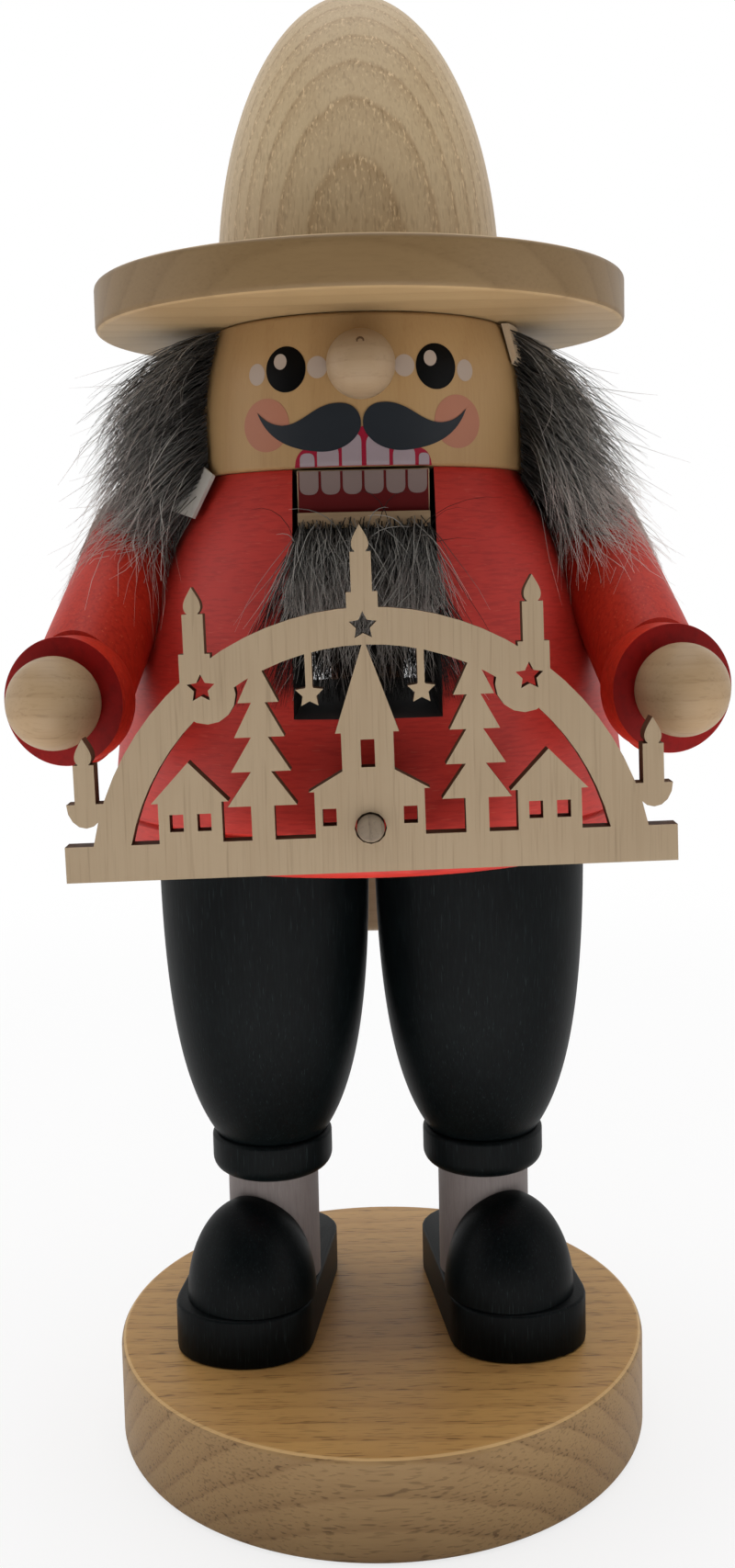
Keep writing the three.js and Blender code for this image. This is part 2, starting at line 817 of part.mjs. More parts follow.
// Candle with its flame, standing on a holder
function candleOutlines(middle, bottom) {
  const flameBottom = bottom + candleHeight;
  const flame = [
    at(middle - candleWidth / 4, flameBottom - glueLine),
    at(middle + candleWidth / 4, flameBottom - glueLine),
    at(middle + flameWidth / 2, flameBottom + flameHeight / 3),
    at(middle, flameBottom + flameHeight),
    at(middle - flameWidth / 2, flameBottom + flameHeight / 3),
  ];
  return [rectangle(middle, bottom - holderHeight, candleWidth, holderHeight + candleHeight), flame];
}

function topCandle(middle) {
  const seat = bandTopAt(Math.abs(middle) + holderWidth / 2, bandOuterRadius) - seatSink;
  const holderTop = bandTopAt(middle, bandOuterRadius) + holderHeight;
  const holder = rectangle(middle, seat, holderWidth, holderTop - seat);
  return [holder, ...candleOutlines(middle, holderTop)];
}

// Candle in a round bowl that grows out of the foot of the band
function lowCandle(side) {
  const top = barHeight + 2 * lowHolderHeight - seatSink;
  const halfWidth = lowHolderWidth / 2;
  const middle = side * (bandReachAt(top, bandOuterRadius) + halfWidth - lowHolderBite);
  const bowl = arc(0, 0, 1, 180, 360, curveSteps).map((spot) => at(
    middle + halfWidth * spot.x, top + lowHolderHeight * spot.y,
  ));
  return [bowl, ...candleOutlines(middle, top)];
}

// Fir: tiers that widen downwards, its tip joined to the band
function firOutline(middle) {
  const tip = bandTopAt(middle, bandInnerRadius) + seatSink;
  const tier = (tip - barHeight) / (firTiers + 1);
  const half = (step) => (firTopWidth + (firWidth - firTopWidth) * step / firTiers) / 2;
  const right = Array.from({ length: firTiers }, (_, step) => [
    at(half(step + 1), tip - tier * (step + 1)),
    at(half(step + 1) * firNotchShare, tip - tier * (step + 1)),
  ]).flat();
  const trunk = at(half(firTiers) * firNotchShare, barHeight - seatSink);
  const edge = [at(hangerWidth / 2, tip), ...right.slice(0, -1), at(trunk.x, right.at(-1).y), trunk];
  return [
    ...edge.map((spot) => at(middle + spot.x, spot.y)),
    ...edge.reverse().map((spot) => at(middle - spot.x, spot.y)),
  ];
}

function gabled(middle, width, wall, roof, eaves) {
  const bottom = barHeight - seatSink;
  const eavesHeight = barHeight + wall;
  return [
    at(middle - width / 2, bottom),
    at(middle + width / 2, bottom),
    at(middle + width / 2, eavesHeight),
    at(middle + width / 2 + eaves, eavesHeight),
    at(middle, eavesHeight + roof),
    at(middle - width / 2 - eaves, eavesHeight),
    at(middle - width / 2, eavesHeight),
  ];
}

const firReach = (naveWidth + firWidth) / 2 + firGap;
const cottageReach = bandReachAt(barHeight, bandInnerRadius) - cottageGap - cottageWidth / 2;

function villageOutlines() {
  const spire = bandTopAt(0, bandInnerRadius) + seatSink - barHeight - towerWall;
  const outlines = [
    gabled(0, towerWidth, towerWall, spire, churchEaves),
    gabled(0, naveWidth, naveWall, naveRoof, churchEaves),
  ];
  for (const [, side] of sides) {
    const starHeight = bandTopAt(hangingStarReach, bandInnerRadius) - hangingStarDrop;
    outlines.push(
      firOutline(side * firReach),
      gabled(side * cottageReach, cottageWidth, cottageWall, cottageRoof, cottageEaves),
      star(side * hangingStarReach, starHeight),
      rectangle(side * hangingStarReach, starHeight, hangerWidth, hangingStarDrop + seatSink),
    );
  }
  return outlines;
}

function windowOutlines() {
  const sill = barHeight + cottageWall / 2 - windowHeight / 2;
  const openings = [rectangle(0, barHeight + towerWindowSill, windowWidth, towerWindowHeight)];
  for (const [, side] of sides) {
    for (const offset of [-windowWidth, windowWidth]) {
      openings.push(rectangle(side * cottageReach + offset, sill, windowWidth, windowHeight));
    }
    const naveWindow = side * (naveWidth + towerWidth) / 4;
    openings.push(rectangle(naveWindow, sill, windowWidth, windowHeight));
  }
  return openings;
}

function makeArch() {
  const solid = (outline) => plate(new THREE.Shape(outline), archThickness);
  const through = (outline) => {
    const cutter = plate(new THREE.Shape(outline), 3 * archThickness);
    return cutter.translate(0, 0, -archThickness);
  };
  const onBand = (angle, radius) => at(
    radius * Math.sin(radians(angle)),
    radius * Math.cos(radians(angle)) - bandCentreDrop,
  );
  const ringOf = (centre, radius, corners) => (
    arc(centre.x, centre.y, radius, 0, 360 - 360 / corners, corners - 1)
  );
  const midRadius = (bandOuterRadius + bandInnerRadius) / 2;
  const starPlaces = [-sideStarAngle, 0, sideStarAngle].map((angle) => onBand(angle, midRadius));
  const bosses = [-sideStarAngle, sideStarAngle].map((angle) => (
    ringOf(onBand(angle, midRadius - starBossInset), starBossRadius, bossSides)
  ));
  const candles = [
    ...[-midCandleReach, 0, midCandleReach].flatMap(topCandle),
    ...[-1, 1].flatMap(lowCandle),
  ];
  const frame = cut(solid(archBandOutline()), through(bandOpening()));
  const filled = join(frame, ...[...bosses, ...candles, ...villageOutlines()].map(solid));
  const pegBore = ringOf(at(0, pegInArch), boreRadius(pegRadius), dowelSides);
  const stars = starPlaces.map((spot) => star(spot.x, spot.y));
  const fretwork = cut(filled, ...[...stars, ...windowOutlines(), pegBore].map(through));
  fretwork.translate(0, -pegInArch, 0).rotateX(Math.PI / 2);
  const arch = new THREE.Group();
  arch.position.set(0, archBack, pegZ);
  arch.rotation.y = radians(-archTilt);
  arch.add(piece('candle_arch', fretwork, birchPly));
  return arch;
}

const nutcracker = new THREE.Group();
nutcracker.add(makeBase(), makeBody(), makeLever(), makePin(), makeBeard());
nutcracker.add(makeHead(), makeHair(), makeHat(), makePeg(), makeArch());
for (const [name, side] of sides) {
  nutcracker.add(makeLeg(name, side), makeArm(name, side));
}

export default nutcracker;
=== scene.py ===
import math

import bpy
import numpy as np
from mathutils import Matrix, Vector


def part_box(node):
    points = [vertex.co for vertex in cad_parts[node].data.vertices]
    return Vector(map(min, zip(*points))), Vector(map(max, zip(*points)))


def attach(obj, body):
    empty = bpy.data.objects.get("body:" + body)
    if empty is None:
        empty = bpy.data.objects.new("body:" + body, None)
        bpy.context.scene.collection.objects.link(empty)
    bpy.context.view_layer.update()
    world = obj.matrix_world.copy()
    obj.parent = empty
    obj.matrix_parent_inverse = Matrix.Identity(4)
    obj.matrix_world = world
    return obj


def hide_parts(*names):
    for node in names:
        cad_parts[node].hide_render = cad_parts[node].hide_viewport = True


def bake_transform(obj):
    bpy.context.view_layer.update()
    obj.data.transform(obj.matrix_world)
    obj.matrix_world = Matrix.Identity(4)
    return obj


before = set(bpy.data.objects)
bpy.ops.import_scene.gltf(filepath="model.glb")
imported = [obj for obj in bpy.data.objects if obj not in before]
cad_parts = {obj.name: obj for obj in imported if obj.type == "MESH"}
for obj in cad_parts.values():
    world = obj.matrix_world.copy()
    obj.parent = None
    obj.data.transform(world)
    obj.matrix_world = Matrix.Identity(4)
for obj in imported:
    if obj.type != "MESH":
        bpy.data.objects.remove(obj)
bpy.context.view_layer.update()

MM = 0.001
SIDES = ((-1, "left"), (1, "right"))

# Sizes of the figure in millimetres, as in the part
BASE_RADIUS, BASE_HEIGHT, BASE_ROUND = 57, 21, 1.5
LEG_OUT, SOCK_RADIUS, TROUSER_FOOT = 23, 9.8, 64.2
CUFF_ROLL_RADIUS, CUFF_ROLL_LOW, CUFF_ROLL_ROUND, CUFF_ROLL_EDGE = 13, 55.7, 3, 1
TROUSER_CURVE = ((12, 64.2), (20.4, 76.2), (22.4, 100.2), (22.4, 129.2))
SHOE_TURN, SHOE_OUT, TOE_AHEAD, TOE_LOW = 7.5, 3.2, -10.5, 31.6
TOE_HALF_WIDTH, TOE_HALF_LENGTH, TOE_HEIGHT = 13.8, 13.5, 20.4
COAT_LOW, COAT_HEM_ROUND = 129.3, 2.5
GROOVE_HEIGHT, GROOVE_WIDTH, GROOVE_DEPTH = 136.7, 1.2, 0.8
COAT_CURVE = ((53.5, 137.3), (53.5, 160.3), (43.5, 184.3), (32.5, 204.3))
COAT_TOP = COAT_CURVE[-1][1]
SLOT_HALF_WIDTH, SLOT_FLOOR, SLOT_CUT_REACH, SLOT_CUT_TOP = 13.5, 158.3, 80, 230
CHIN_FRONT, JAW_TOP, CHIN_TOP, CHIN_BOTTOM = -35, 203.9, 195.9, 176.3
HEAD_RADIUS, HEAD_LOW, HEAD_TOP, HEAD_ROUND = 34.1, 204.4, 233.6, 0.8
HEAD_CURVE = ((34.1, 214.4), (34.1, 224), (30.2, 233.6))
NOSE_RADIUS, NOSE_AHEAD, NOSE_HEIGHT, NOSE_FLAT = 6.4, -38.1, 222.8, 0.8
BRIM_RADIUS, BRIM_LOW, BRIM_TOP, BRIM_ROUND = 54.3, 233.7, 243.2, 1.2
CROWN_RADIUS, CROWN_FLAT, CROWN_LOW, CROWN_TOP, CROWN_ROUND = 29, 3, 243.3, 300.5, 2.5
SHOULDER, WRIST, SLEEVE_RADIUS, SLEEVE_ROUND = (47.1, 0, 192.3), (55.1, -36.2, 161.9), 10, 2.5
HAND_TURN, HAND_RADIUS, HAND_AHEAD, HAND_FLAT = 15, 8.7, 9.8, 0.95
CUFF_RADIUS, CUFF_LENGTH, CUFF_ROUND, WRIST_GAP = 12.1, 6, 0.25, 0.05
PEG_RADIUS, PEG_ROUND, PEG_HEIGHT = 2.4, 0.7, 140.7
SOLE_ROUND, LEVER_ROUND, SLOT_TOLERANCE = 0.6, 0.2, 0.1
ARCH_FRONT, ARCH_THICKNESS, ARCH_TILT = -64, 4, 1
FLAME_CURVE = ((0, -0.2), (1.5, -0.2), (2.3, 1.5), (0.9, 2.9), (0, 4.6))
FLAME_PLACES = ((-49.02, 12.8), (-29, 37.97), (0, 47.5), (29, 37.97), (49.02, 12.8))
FLAME_INSET = 0.02
# How much of its normal lies along an axis when a face counts as level, sloped, or square to it
LEVEL_FACE, SLOPED_FACE, SQUARE_FACE = 0.9, 0.7, 0.99

# The painted face in millimetres: each spot's distance from the middle, step aside, height,
# width, height over all, lift off the wood, and paint
FACE_SPOTS = (
    ("cheek", 18.2, 0, 212.8, 8.9, 10.1, 0.03, "cheek_paint"),
    ("eye", 14.2, 0, 223.1, 7.65, 8.8, 0.06, "eye_paint"),
    ("eye_light", 14.2, -1.05, 224.6, 2.45, 3.0, 0.12, "eye_white"),
    ("dot_outer", 19.9, 0, 222.6, 3.1, 4.2, 0.03, "eye_white"),
    ("dot_inner", 8.2, 0, 223.1, 3.8, 4.2, 0.04, "eye_white"),
)
# One lobe of the moustache, from the notch over its top to the turned-up tip and back below,
# as curves with their counts of points
MOUSTACHE_CURVES = (
    (((0.25, 211.6), (-0.2, 214.4), (1.5, 216.6), (5.2, 216.2)), 14),
    (((5.2, 216.2), (9.4, 215.8), (11.2, 212.4), (15.2, 212.5)), 14),
    (((15.2, 212.5), (17.6, 212.8), (18.8, 213.9), (20.0, 215.3)), 10),
    (((20.0, 215.3), (18.6, 211.4), (15.6, 208.0), (8.2, 207.3)), 18),
    (((8.2, 207.3), (4.4, 207.0), (1.2, 208.8), (0.25, 211.6)), 14),
)
NOSE_MARK_ARCS = ((226.3, 0.75, 200, -10), (226.2, 0.45, -10, 200))
PAINT_EDGE = 0.1
MOUTH_LOW = HEAD_LOW + PAINT_EDGE
MOUTH_RIGHT = ((12.9, 205.6), (12.4, 207.6), (10.4, 207.9))
MOUTH_PEAK = (0.3, 211.9)
MOUTH_LEFT = ((-10.3, 208.2), (-12.2, 207.6), (-12.7, 205.8))
MOUTH_CORNERS = (-12.9, 13.1)
UPPER_TEETH = (
    (-11.9, -9.1, 207.1),
    (-8.6, -4.5, 208.6),
    (-3.9, -0.2, 210.6),
    (0.7, 5.0, 210.4),
    (5.7, 9.9, 208.2),
    (10.6, 12.6, 206.8),
)
GUM_HALF_WIDTH, LOWER_TEETH, LOWER_TEETH_LOW, LOWER_TEETH_GAP, JAW_EDGE = 12.3, 6, 199.3, 0.25, 0.2
PAINT_THICKNESS, PAINT_START = 0.05, -60
# How far the other paint lies off the wood, and the width of the strips it is cut into
MOUSTACHE_LIFT, NOSE_MARK_LIFT, MOUTH_LIFT, UPPER_TOOTH_LIFT = 0.2, 0.04, 0.08, 0.16
GUM_LIFT, LOWER_TOOTH_LIFT = 0.03, 0.1
STRIP, MOUTH_STRIP, NOSE_MARK_STRIP = 1.2, 0.5, 0.4

# Fur: lengths in millimetres, slopes and spreads in radians unless they are named as degrees
FUR_SEED, STRAND_WIDTH, STRAND_POINTS, STRAND_TAPER = 12, (0.06, 0.12), 7, 0.8
FUR_GAP, BRIM_GAP, SLOT_MARGIN = 0.5, 0.4, 0.6
# Each mane: node, hairs, first and last degrees from the front, degrees at which hairs leave the
# lowest and the highest roots, degrees at which they hang, and how far those by the face are combed
MANES = (
    ("hair_left", 6400, -142, -62, (38, 16), (64, 66), -0.7),
    ("hair_right", 6400, 65, 142, (38, 32), (66, 66), 0.4),
    ("hair_back", 5200, 138, 222, (40, 22), (74, 70), 0),
)
HAIRS_PER_TUFT, TUFT_DEGREES, TUFT_HEIGHT = 20, 4, 2.4
ROOT_LOW, TUFT_TOP, ROOT_TOP, ROOT_OUT = HEAD_LOW - 2, HEAD_TOP - 1, HEAD_TOP - 0.8, 0.8
WAVE_SIZE, WAVE_TURN, WAVE_REACH, LEAN_BEND, LEAN_REACH = (0.2, 0.9), 6, 40, 1.4, 45
HAIR_STRAY, HAIR_STRAY_LOOSE, HAIR_STRAY_LENGTH = 0.1, 1.8, 1.1
HAIR_LENGTH, HAIR_SHARE, HAIR_LENGTH_LOW, HAIR_LENGTH_DROP = (25, 35), (0.6, 1.1), 1.08, 0.28
COMB_END, COMB_SPAN, MANE_OVERHANG = 100, 38, 8
TUFT_LEAN, TUFT_SLOPE, HAIR_LEAN, HAIR_LEAVE, HAIR_HANG = 0.34, 0.16, 0.22, 0.1, 0.2
HAIR_TONE, PALE_TIP_HEIGHTS, PALE_TIP_SHARES = 1.35, (186, 206), (1.2, 0.8)
BEARD_COUNT, BEARD_PER_TUFT, BEARD_HALF_WIDTH = 4800, 18, 12
# Deep beard hairs lie back in the slot and are coloured near black: painted shade
BEARD_STRAY, BEARD_STRAY_LOOSE, BEARD_RISING, BEARD_SHADE_HAIRS = 0.12, 1.7, 0.005, 0.4
BEARD_STRAY_LENGTH, BEARD_LEAST_LENGTH, BEARD_END, BEARD_SHADE_HAIR_END = (9, 21), 4, 177, 160
BEARD_SHARE, BEARD_SHADE_HAIR_SHARE = (0.6, 1.05), (0.85, 1.05)
BEARD_CURL, BEARD_WAVE = (4, 8), (0.3, 1.5)
BEARD_BULGE, BEARD_SIDE_BULGE, BEARD_STRAY_BULGE = (2, 7), (2.5, 7), 2
BEARD_TUFT_LEAN, BEARD_LEAN, BEARD_TUFT_WIDTH, BEARD_TUFT_HEIGHT = 0.13, 0.16, 1.4, 1.5
SKIN_HALF_WIDTH, SKIN_LIFT = 12.2, 0.04
# The leather strip round the head, and the block that cuts its end to a slant
LEATHER_GAP, LEATHER_OUT, LEATHER_BEND, LEATHER_SWEEP = 0.3, 1.5, 222, (-26, 196)
SLANT_LOW, SLANT_HIGH = (-30, -40, -60), (30, 40, 0)
SLANT_PLACE, SLANT_TURN = (31, -14, 226), (0, -62, -26)
FLAP_CORNERS = (
    (-29.4, -19.5, 204.2),
    (-33.8, -18.7, 195.9),
    (-38.6, -14.5, 197.6),
    (-33.8, -12, 208),
)
FLAP_THICKNESS = 0.8

# Materials, with screen colours of 0 to 255
ALONG_X = (50, 90, 0)
RING_SHADE = ((0.0, 0.9), (0.08, 0.62), (0.25, 0.34), (0.6, 0.08), (0.88, 0.0), (1.0, 0.9))
# Each wood: name, pale and dark colour, turn of the grain in degrees, ring spacing, wander of the
# rings, pore length, strength of the pores and of the rings, and what differs from the usual
WOODS = (
    ("beech_base", (160, 130, 90), (127, 97, 65), ALONG_X, 4.4, 6, 0.22, 0.8, 0.6, {}),
    # The top's copy is paler and more golden: partly the wood's own tone, partly painted light on
    # the top
    ("beech_top", (184, 144, 86), (149, 108, 62), ALONG_X, 4.4, 6, 0.22, 0.8, 0.5, {}),
    # The rounded top edge is paler still: partly a worn edge, partly a painted highlight
    ("beech_edge", (200, 165, 112), (172, 135, 86), ALONG_X, 4.4, 6, 0.22, 0.3, 0.3, {}),
    (
        "ash", (192, 170, 136), (150, 121, 84), (0, 0, 90), 2.95, 2, 0.35, 0.45, 0.6,
        {"shift": 0.67, "flecks": 0.6},
    ),
    ("ash_brim", (128, 104, 72), (101, 78, 49), ALONG_X, 7, 10, 0.2, 0.15, 0.35, {}),
    # A paler copy of ash_brim for the brim's flat faces: painted light from below on the underside
    ("ash_brim_face", (170, 143, 104), (138, 110, 74), ALONG_X, 7, 10, 0.2, 0.15, 0.35, {}),
    ("honey", (164, 132, 90), (142, 106, 68), (0, 0, 20), 9, 16, 0.1, 0.1, 0.25, {}),
    ("pale", (156, 132, 104), (130, 105, 77), (0, 90, 0), 3, 5, 0.1, 0.1, 0.3, {}),
    ("hand", (168, 142, 110), (138, 110, 79), (0, 90, 0), 3.2, 6, 0.14, 0.25, 0.35, {}),
    ("peg", (116, 102, 86), (90, 77, 63), (90, 0, 0), 2, 3, 0.1, 0.3, 0.6, {}),
    (
        "plywood", (155, 136, 111), (128, 107, 82), (0, 0, 0), 3.4, 9, 0.07, 0.22, 0.15,
        {"roughness": 0.6},
    ),
    ("dowel", (170, 135, 83), (136, 101, 60), (0, 0, 90), 2.5, 5, 0.12, 0.3, 0.6, {}),
)
# Each paint over wood: name, colour, shade, light, size of the pores, roughness and gloss
PAINTS = (
    ("red_paint", (187, 46, 36), (147, 27, 20), (190, 74, 60), (0.22, 0.22, 1.9), 0.5, 0.34),
    ("red_sleeve", (190, 46, 27), (144, 24, 14), (212, 96, 66), (1.4, 1.4, 0.5), 0.5, 0.18),
    # For the cuff's front face: a darker copy of the sleeve red, painted shade
    ("dark_red", (130, 12, 9), (104, 8, 6), (140, 22, 16), (0.6, 0.6, 0.6), 0.5, 0.12),
    ("black_paint", (4, 7, 8), (14, 20, 21), (38, 47, 48), (2.4, 2.4, 0.12), 0.45, 0.07),
    ("white_paint", (126, 117, 114), (112, 102, 99), (136, 128, 125), (2, 2, 0.2), 0.55, 0.25),
)
# Each even colour: name, colour, roughness and gloss
PLAINS = (
    ("burnt_edge", (74, 50, 32), 0.7, 0.2),
    # Near black for the slot's walls and floor: painted shade in the slot
    ("slot_painted_shade", (22, 10, 8), 0.7, 0.2),
    ("cheek_paint", (158, 103, 80), 0.45, 0.2),
    ("eye_paint", (5, 5, 5), 0.35, 0.08),
    ("nose_mark", (92, 68, 48), 0.45, 0.2),
    ("eye_white", (162, 146, 133), 0.45, 0.2),
    ("moustache_paint", (29, 33, 38), 0.5, 0.2),
    ("crimson_paint", (140, 14, 40), 0.45, 0.2),
    ("tooth_paint", (145, 129, 133), 0.45, 0.2),
    ("gum_paint", (86, 7, 7), 0.45, 0.2),
    ("lower_tooth_paint", (124, 106, 101), 0.45, 0.2),
    ("leather", (178, 158, 132), 0.7, 0.2),
    ("leather_edge", (184, 180, 172), 0.7, 0.2),
    ("fur_skin", (26, 24, 23), 0.8, 0.2),
)
WOOD_GLOSS, FUR_GLOSS, FUR_ROUGHNESS = 0.17, 0.1, 0.55
FUR_DARK, FUR_PALE = (57, 56, 54), (180, 177, 171)
FUR_ENDS, FUR_ROOTS = (226, 210, 202), (25, 23, 22)

# The camera that was fitted to the photograph, and the lamps: name, place, target, size and watts
CAMERA_PLACE, CAMERA_PITCH, CAMERA_ROLL = (0, -0.32511, 0.18566), 0.1, 0.0219
CAMERA_LENS, CAMERA_SHIFT = 35.14, (-0.0006, -0.0409)
LAMPS = (
    ("table_glow", (0, -0.34, 0.002), (0, -0.34, 1), 0.46, 1.3),
    ("overhead", (0, -0.12, 1.0), (0, -0.05, 0), 0.9, 6.0),
    ("left_side", (-0.85, -0.15, 0.3), (0, 0, 0.2), 0.7, 2.0),
    ("right_side", (0.8, -0.4, 0.3), (0, 0, 0.2), 0.6, 1.7),
)
TENT_DEPTHS, TENT_LEVELS = (-0.45, 0.6), (0.02, 1.0)
FLOOR_SIZE, FLOOR_NEAR, FLOOR_FAR, FLOOR_NEAR_GLOW = 6, 120, 600, 0.75


# Materials

class Value:
    """A node's output that can stand on either side of a sum, difference or product."""

    def __init__(self, nodes, socket):
        self.nodes = nodes
        self.socket = socket

    def calculate(self, operation, first, second):
        return self.nodes.node("ShaderNodeMath", {"operation": operation}, {0: first, 1: second})

    def __add__(self, other):
        return self.calculate("ADD", self, other)

    def __radd__(self, other):
        return self.calculate("ADD", other, self)

    def __sub__(self, other):
        return self.calculate("SUBTRACT", self, other)

    def __rsub__(self, other):
        return self.calculate("SUBTRACT", other, self)

    def __mul__(self, other):
        return self.calculate("MULTIPLY", self, other)

    def __rmul__(self, other):
        return self.calculate("MULTIPLY", other, self)


class Nodes:
    """A node tree, and the one way that nodes come into it."""

    def __init__(self, tree):
        self.tree = tree

    def node(self, kind, settings, inputs, output=0):
        """Any node: its settings first, then the values or links of its sockets."""
        made = self.tree.nodes.new(kind)
        for key, value in settings.items():
            if key == "stops":
                self.set_stops(made.color_ramp.elements, value)
            else:
                setattr(made, key, value)
        for key, value in inputs.items():
            self.plug(made.inputs[key], value)
        return Value(self, made.outputs[output])

    def set_stops(self, elements, stops):
        """Gives a ramp its greys, at stops of position and level."""
        while len(elements) < len(stops):
            elements.new(0.5)
        for element, (position, level) in zip(elements, stops):
            element.position = position
            element.color = (level, level, level, 1)

    def plug(self, socket, value):
        if isinstance(value, Value):
            self.tree.links.new(value.socket, socket)
        else:
            socket.default_value = value

    def level(self, value, low, high, start=0.0, end=1.0):
        """The value eased from start at low to end at high."""
        inputs = {"Value": value, "From Min": low, "From Max": high, "To Min": start, "To Max": end}
        return self.node("ShaderNodeMapRange", {"interpolation_type": "SMOOTHSTEP"}, inputs)

    def axis(self, point, name):
        return self.node("ShaderNodeSeparateXYZ", {}, {"Vector": point}, name)


class Finish(Nodes):
    """One material, its surface and the nodes that feed it."""

    def __init__(self, name, colour, roughness, gloss):
        self.material = bpy.data.materials.new(name)
        self.material.use_nodes = True
        super().__init__(self.material.node_tree)
        self.surface = self.tree.nodes["Principled BSDF"]
        self.feed("Base Color", (*colour, 1))
        self.feed("Roughness", roughness)
        self.feed("Specular IOR Level", gloss)

    def feed(self, name, value):
        self.plug(self.surface.inputs[name], value)

    def place(self, scale=(1, 1, 1), turn=(0, 0, 0), shift=(0, 0, 0)):
        """The point on the object in millimetres, turned, then scaled along its axes."""
        point = self.node("ShaderNodeTexCoord", {}, {}, "Object")
        if any(turn):
            angles = [math.radians(angle) for angle in turn]
            point = self.node("ShaderNodeMapping", {}, {"Vector": point, "Rotation": angles})
        inputs = {"Vector": point, "Scale": [value / MM for value in scale], "Location": shift}
        return self.node("ShaderNodeMapping", {}, inputs)

    def noise(self, point, detail, roughness=0.5):
        inputs = {"Vector": point, "Scale": 1.0, "Detail": detail, "Roughness": roughness}
        return self.node("ShaderNodeTexNoise", {}, inputs)

    def mix(self, share, first, second):
        """The colour that lies a share of the way from the first to the second."""
        first = first if isinstance(first, Value) else (*first, 1)
        second = second if isinstance(second, Value) else (*second, 1)
        inputs = {0: share, 6: first, 7: second}
        return self.node("ShaderNodeMix", {"data_type": "RGBA"}, inputs, 2)

    def bump(self, height, distance, strength):
        inputs = {"Height": height, "Distance": distance * MM, "Strength": strength}
        self.feed("Normal", self.node("ShaderNodeBump", {}, inputs))


def linear(colour):
    """A screen colour of 0 to 255 as the linear one that Blender takes."""
    def channel(value):
        share = value / 255
        return share / 12.92 if share <= 0.04045 else ((share + 0.055) / 1.055) ** 2.4
    return tuple(channel(value) for value in colour)


def wood(name, pale, dark, turn, spacing, wander, pore_length, pores, rings, more):
    """Sawn wood: its rings lie along the turned X, its fibres run along the turned Z."""
    finish = Finish(name, pale, more.get("roughness", 0.42), WOOD_GLOSS)

    def grain(scale, detail, roughness=0.5, shift=(0, 0, 0)):
        return finish.noise(finish.place(scale, turn, shift), detail, roughness)

    slow = grain((0.035, 0.035, 0.012), 1.0)
    fine = grain((0.25, 0.25, 0.03), 2.0)
    fibre = grain((1.6, 1.6, 0.05), 3.0, 0.65)
    pore = grain((2.2, 2.2, pore_length), 1.0, 0.4)
    cloud = grain((0.03, 0.03, 0.03), 2.0)
    across = finish.axis(finish.place((1, 1, 1), turn), "X")
    rings_passed = (across + slow * wander + fine * 0.8 + more.get("shift", 0)) * (1 / spacing)
    ring = finish.node("ShaderNodeMath", {"operation": "FRACT"}, {0: rings_passed})
    late = finish.node("ShaderNodeValToRGB", {"stops": RING_SHADE}, {"Fac": ring})
    pore_mask = finish.level(pore, 0.55, 0.68) * (0.35 + 0.65 * late)
    body = finish.mix(late * rings + (fibre - 0.5) * 0.5, pale, dark)
    body = finish.mix(finish.level(cloud, 0.35, 0.7) * 0.22, body, dark)
    if "flecks" in more:
        fleck = grain((2.1, 2.1, 0.75), 1.0, shift=(4, 2, 6))
        bright = tuple(min(1.6 * value, 1) for value in pale)
        share = finish.level(fleck, 0.56, 0.68) * (late + 0.1) * more["flecks"]
        body = finish.mix(share, body, bright)
    deep = tuple(value * 0.45 for value in dark)
    finish.feed("Base Color", finish.mix(pore_mask * pores, body, deep))
    finish.bump(pore_mask * -pores - fibre * 0.25, 0.12, 0.35)
    return finish.material


def paint(name, colour, shade, light, pores, roughness, gloss):
    """Paint over turned wood: soft clouds, and pores that show as dark and as pale dashes."""
    finish = Finish(name, colour, roughness, gloss)
    cloud = finish.noise(finish.place((0.06, 0.06, 0.06)), 3.0)
    dash = finish.noise(finish.place(pores), 2.0, 0.6)
    finer = [1.7 * value for value in pores]
    speck = finish.noise(finish.place(finer, shift=(7, 3, 5)), 1.0)
    dark = finish.level(dash, 0.42, 0.7) * 0.45 + finish.level(cloud, 0.3, 0.75) * 0.3
    body = finish.mix(dark, colour, shade)
    finish.feed("Base Color", finish.mix(finish.level(speck, 0.64, 0.76) * 0.5, body, light))
    finish.bump(dash, 0.08, 0.3)
    return finish.material


def fur_finish():
    """Hair that is dark at the skin and pale at the tip, each strand with a tone of its own."""
    finish = Finish("grey_fur", (0.1, 0.1, 0.1), FUR_ROUGHNESS, FUR_GLOSS)
    tip = finish.node("ShaderNodeAttribute", {"attribute_name": "tip"}, {}, "Fac")
    tone = finish.node("ShaderNodeAttribute", {"attribute_name": "tone"}, {}, "Fac")
    strand = finish.mix(tone, linear(FUR_DARK), linear(FUR_PALE))
    ends = finish.mix(finish.level(tip, 0.6, 1.0) * 0.75, strand, linear(FUR_ENDS))
    at_root = finish.level(tip, 0.0, 0.6, 0.85, 0.0)
    finish.feed("Base Color", finish.mix(at_root, ends, linear(FUR_ROOTS)))
    return finish.material


def make_materials():
    """Every material under the name that its table gives it."""
    made = {"grey_fur": fur_finish()}
    for name, pale, dark, *grain in WOODS:
        made[name] = wood(name, linear(pale), linear(dark), *grain)
    for name, colour, shade, light, *surface in PAINTS:
        made[name] = paint(name, linear(colour), linear(shade), linear(light), *surface)
    for name, colour, roughness, gloss in PLAINS:
        made[name] = Finish(name, linear(colour), roughness, gloss).material
    return made


# Camera, floor and light

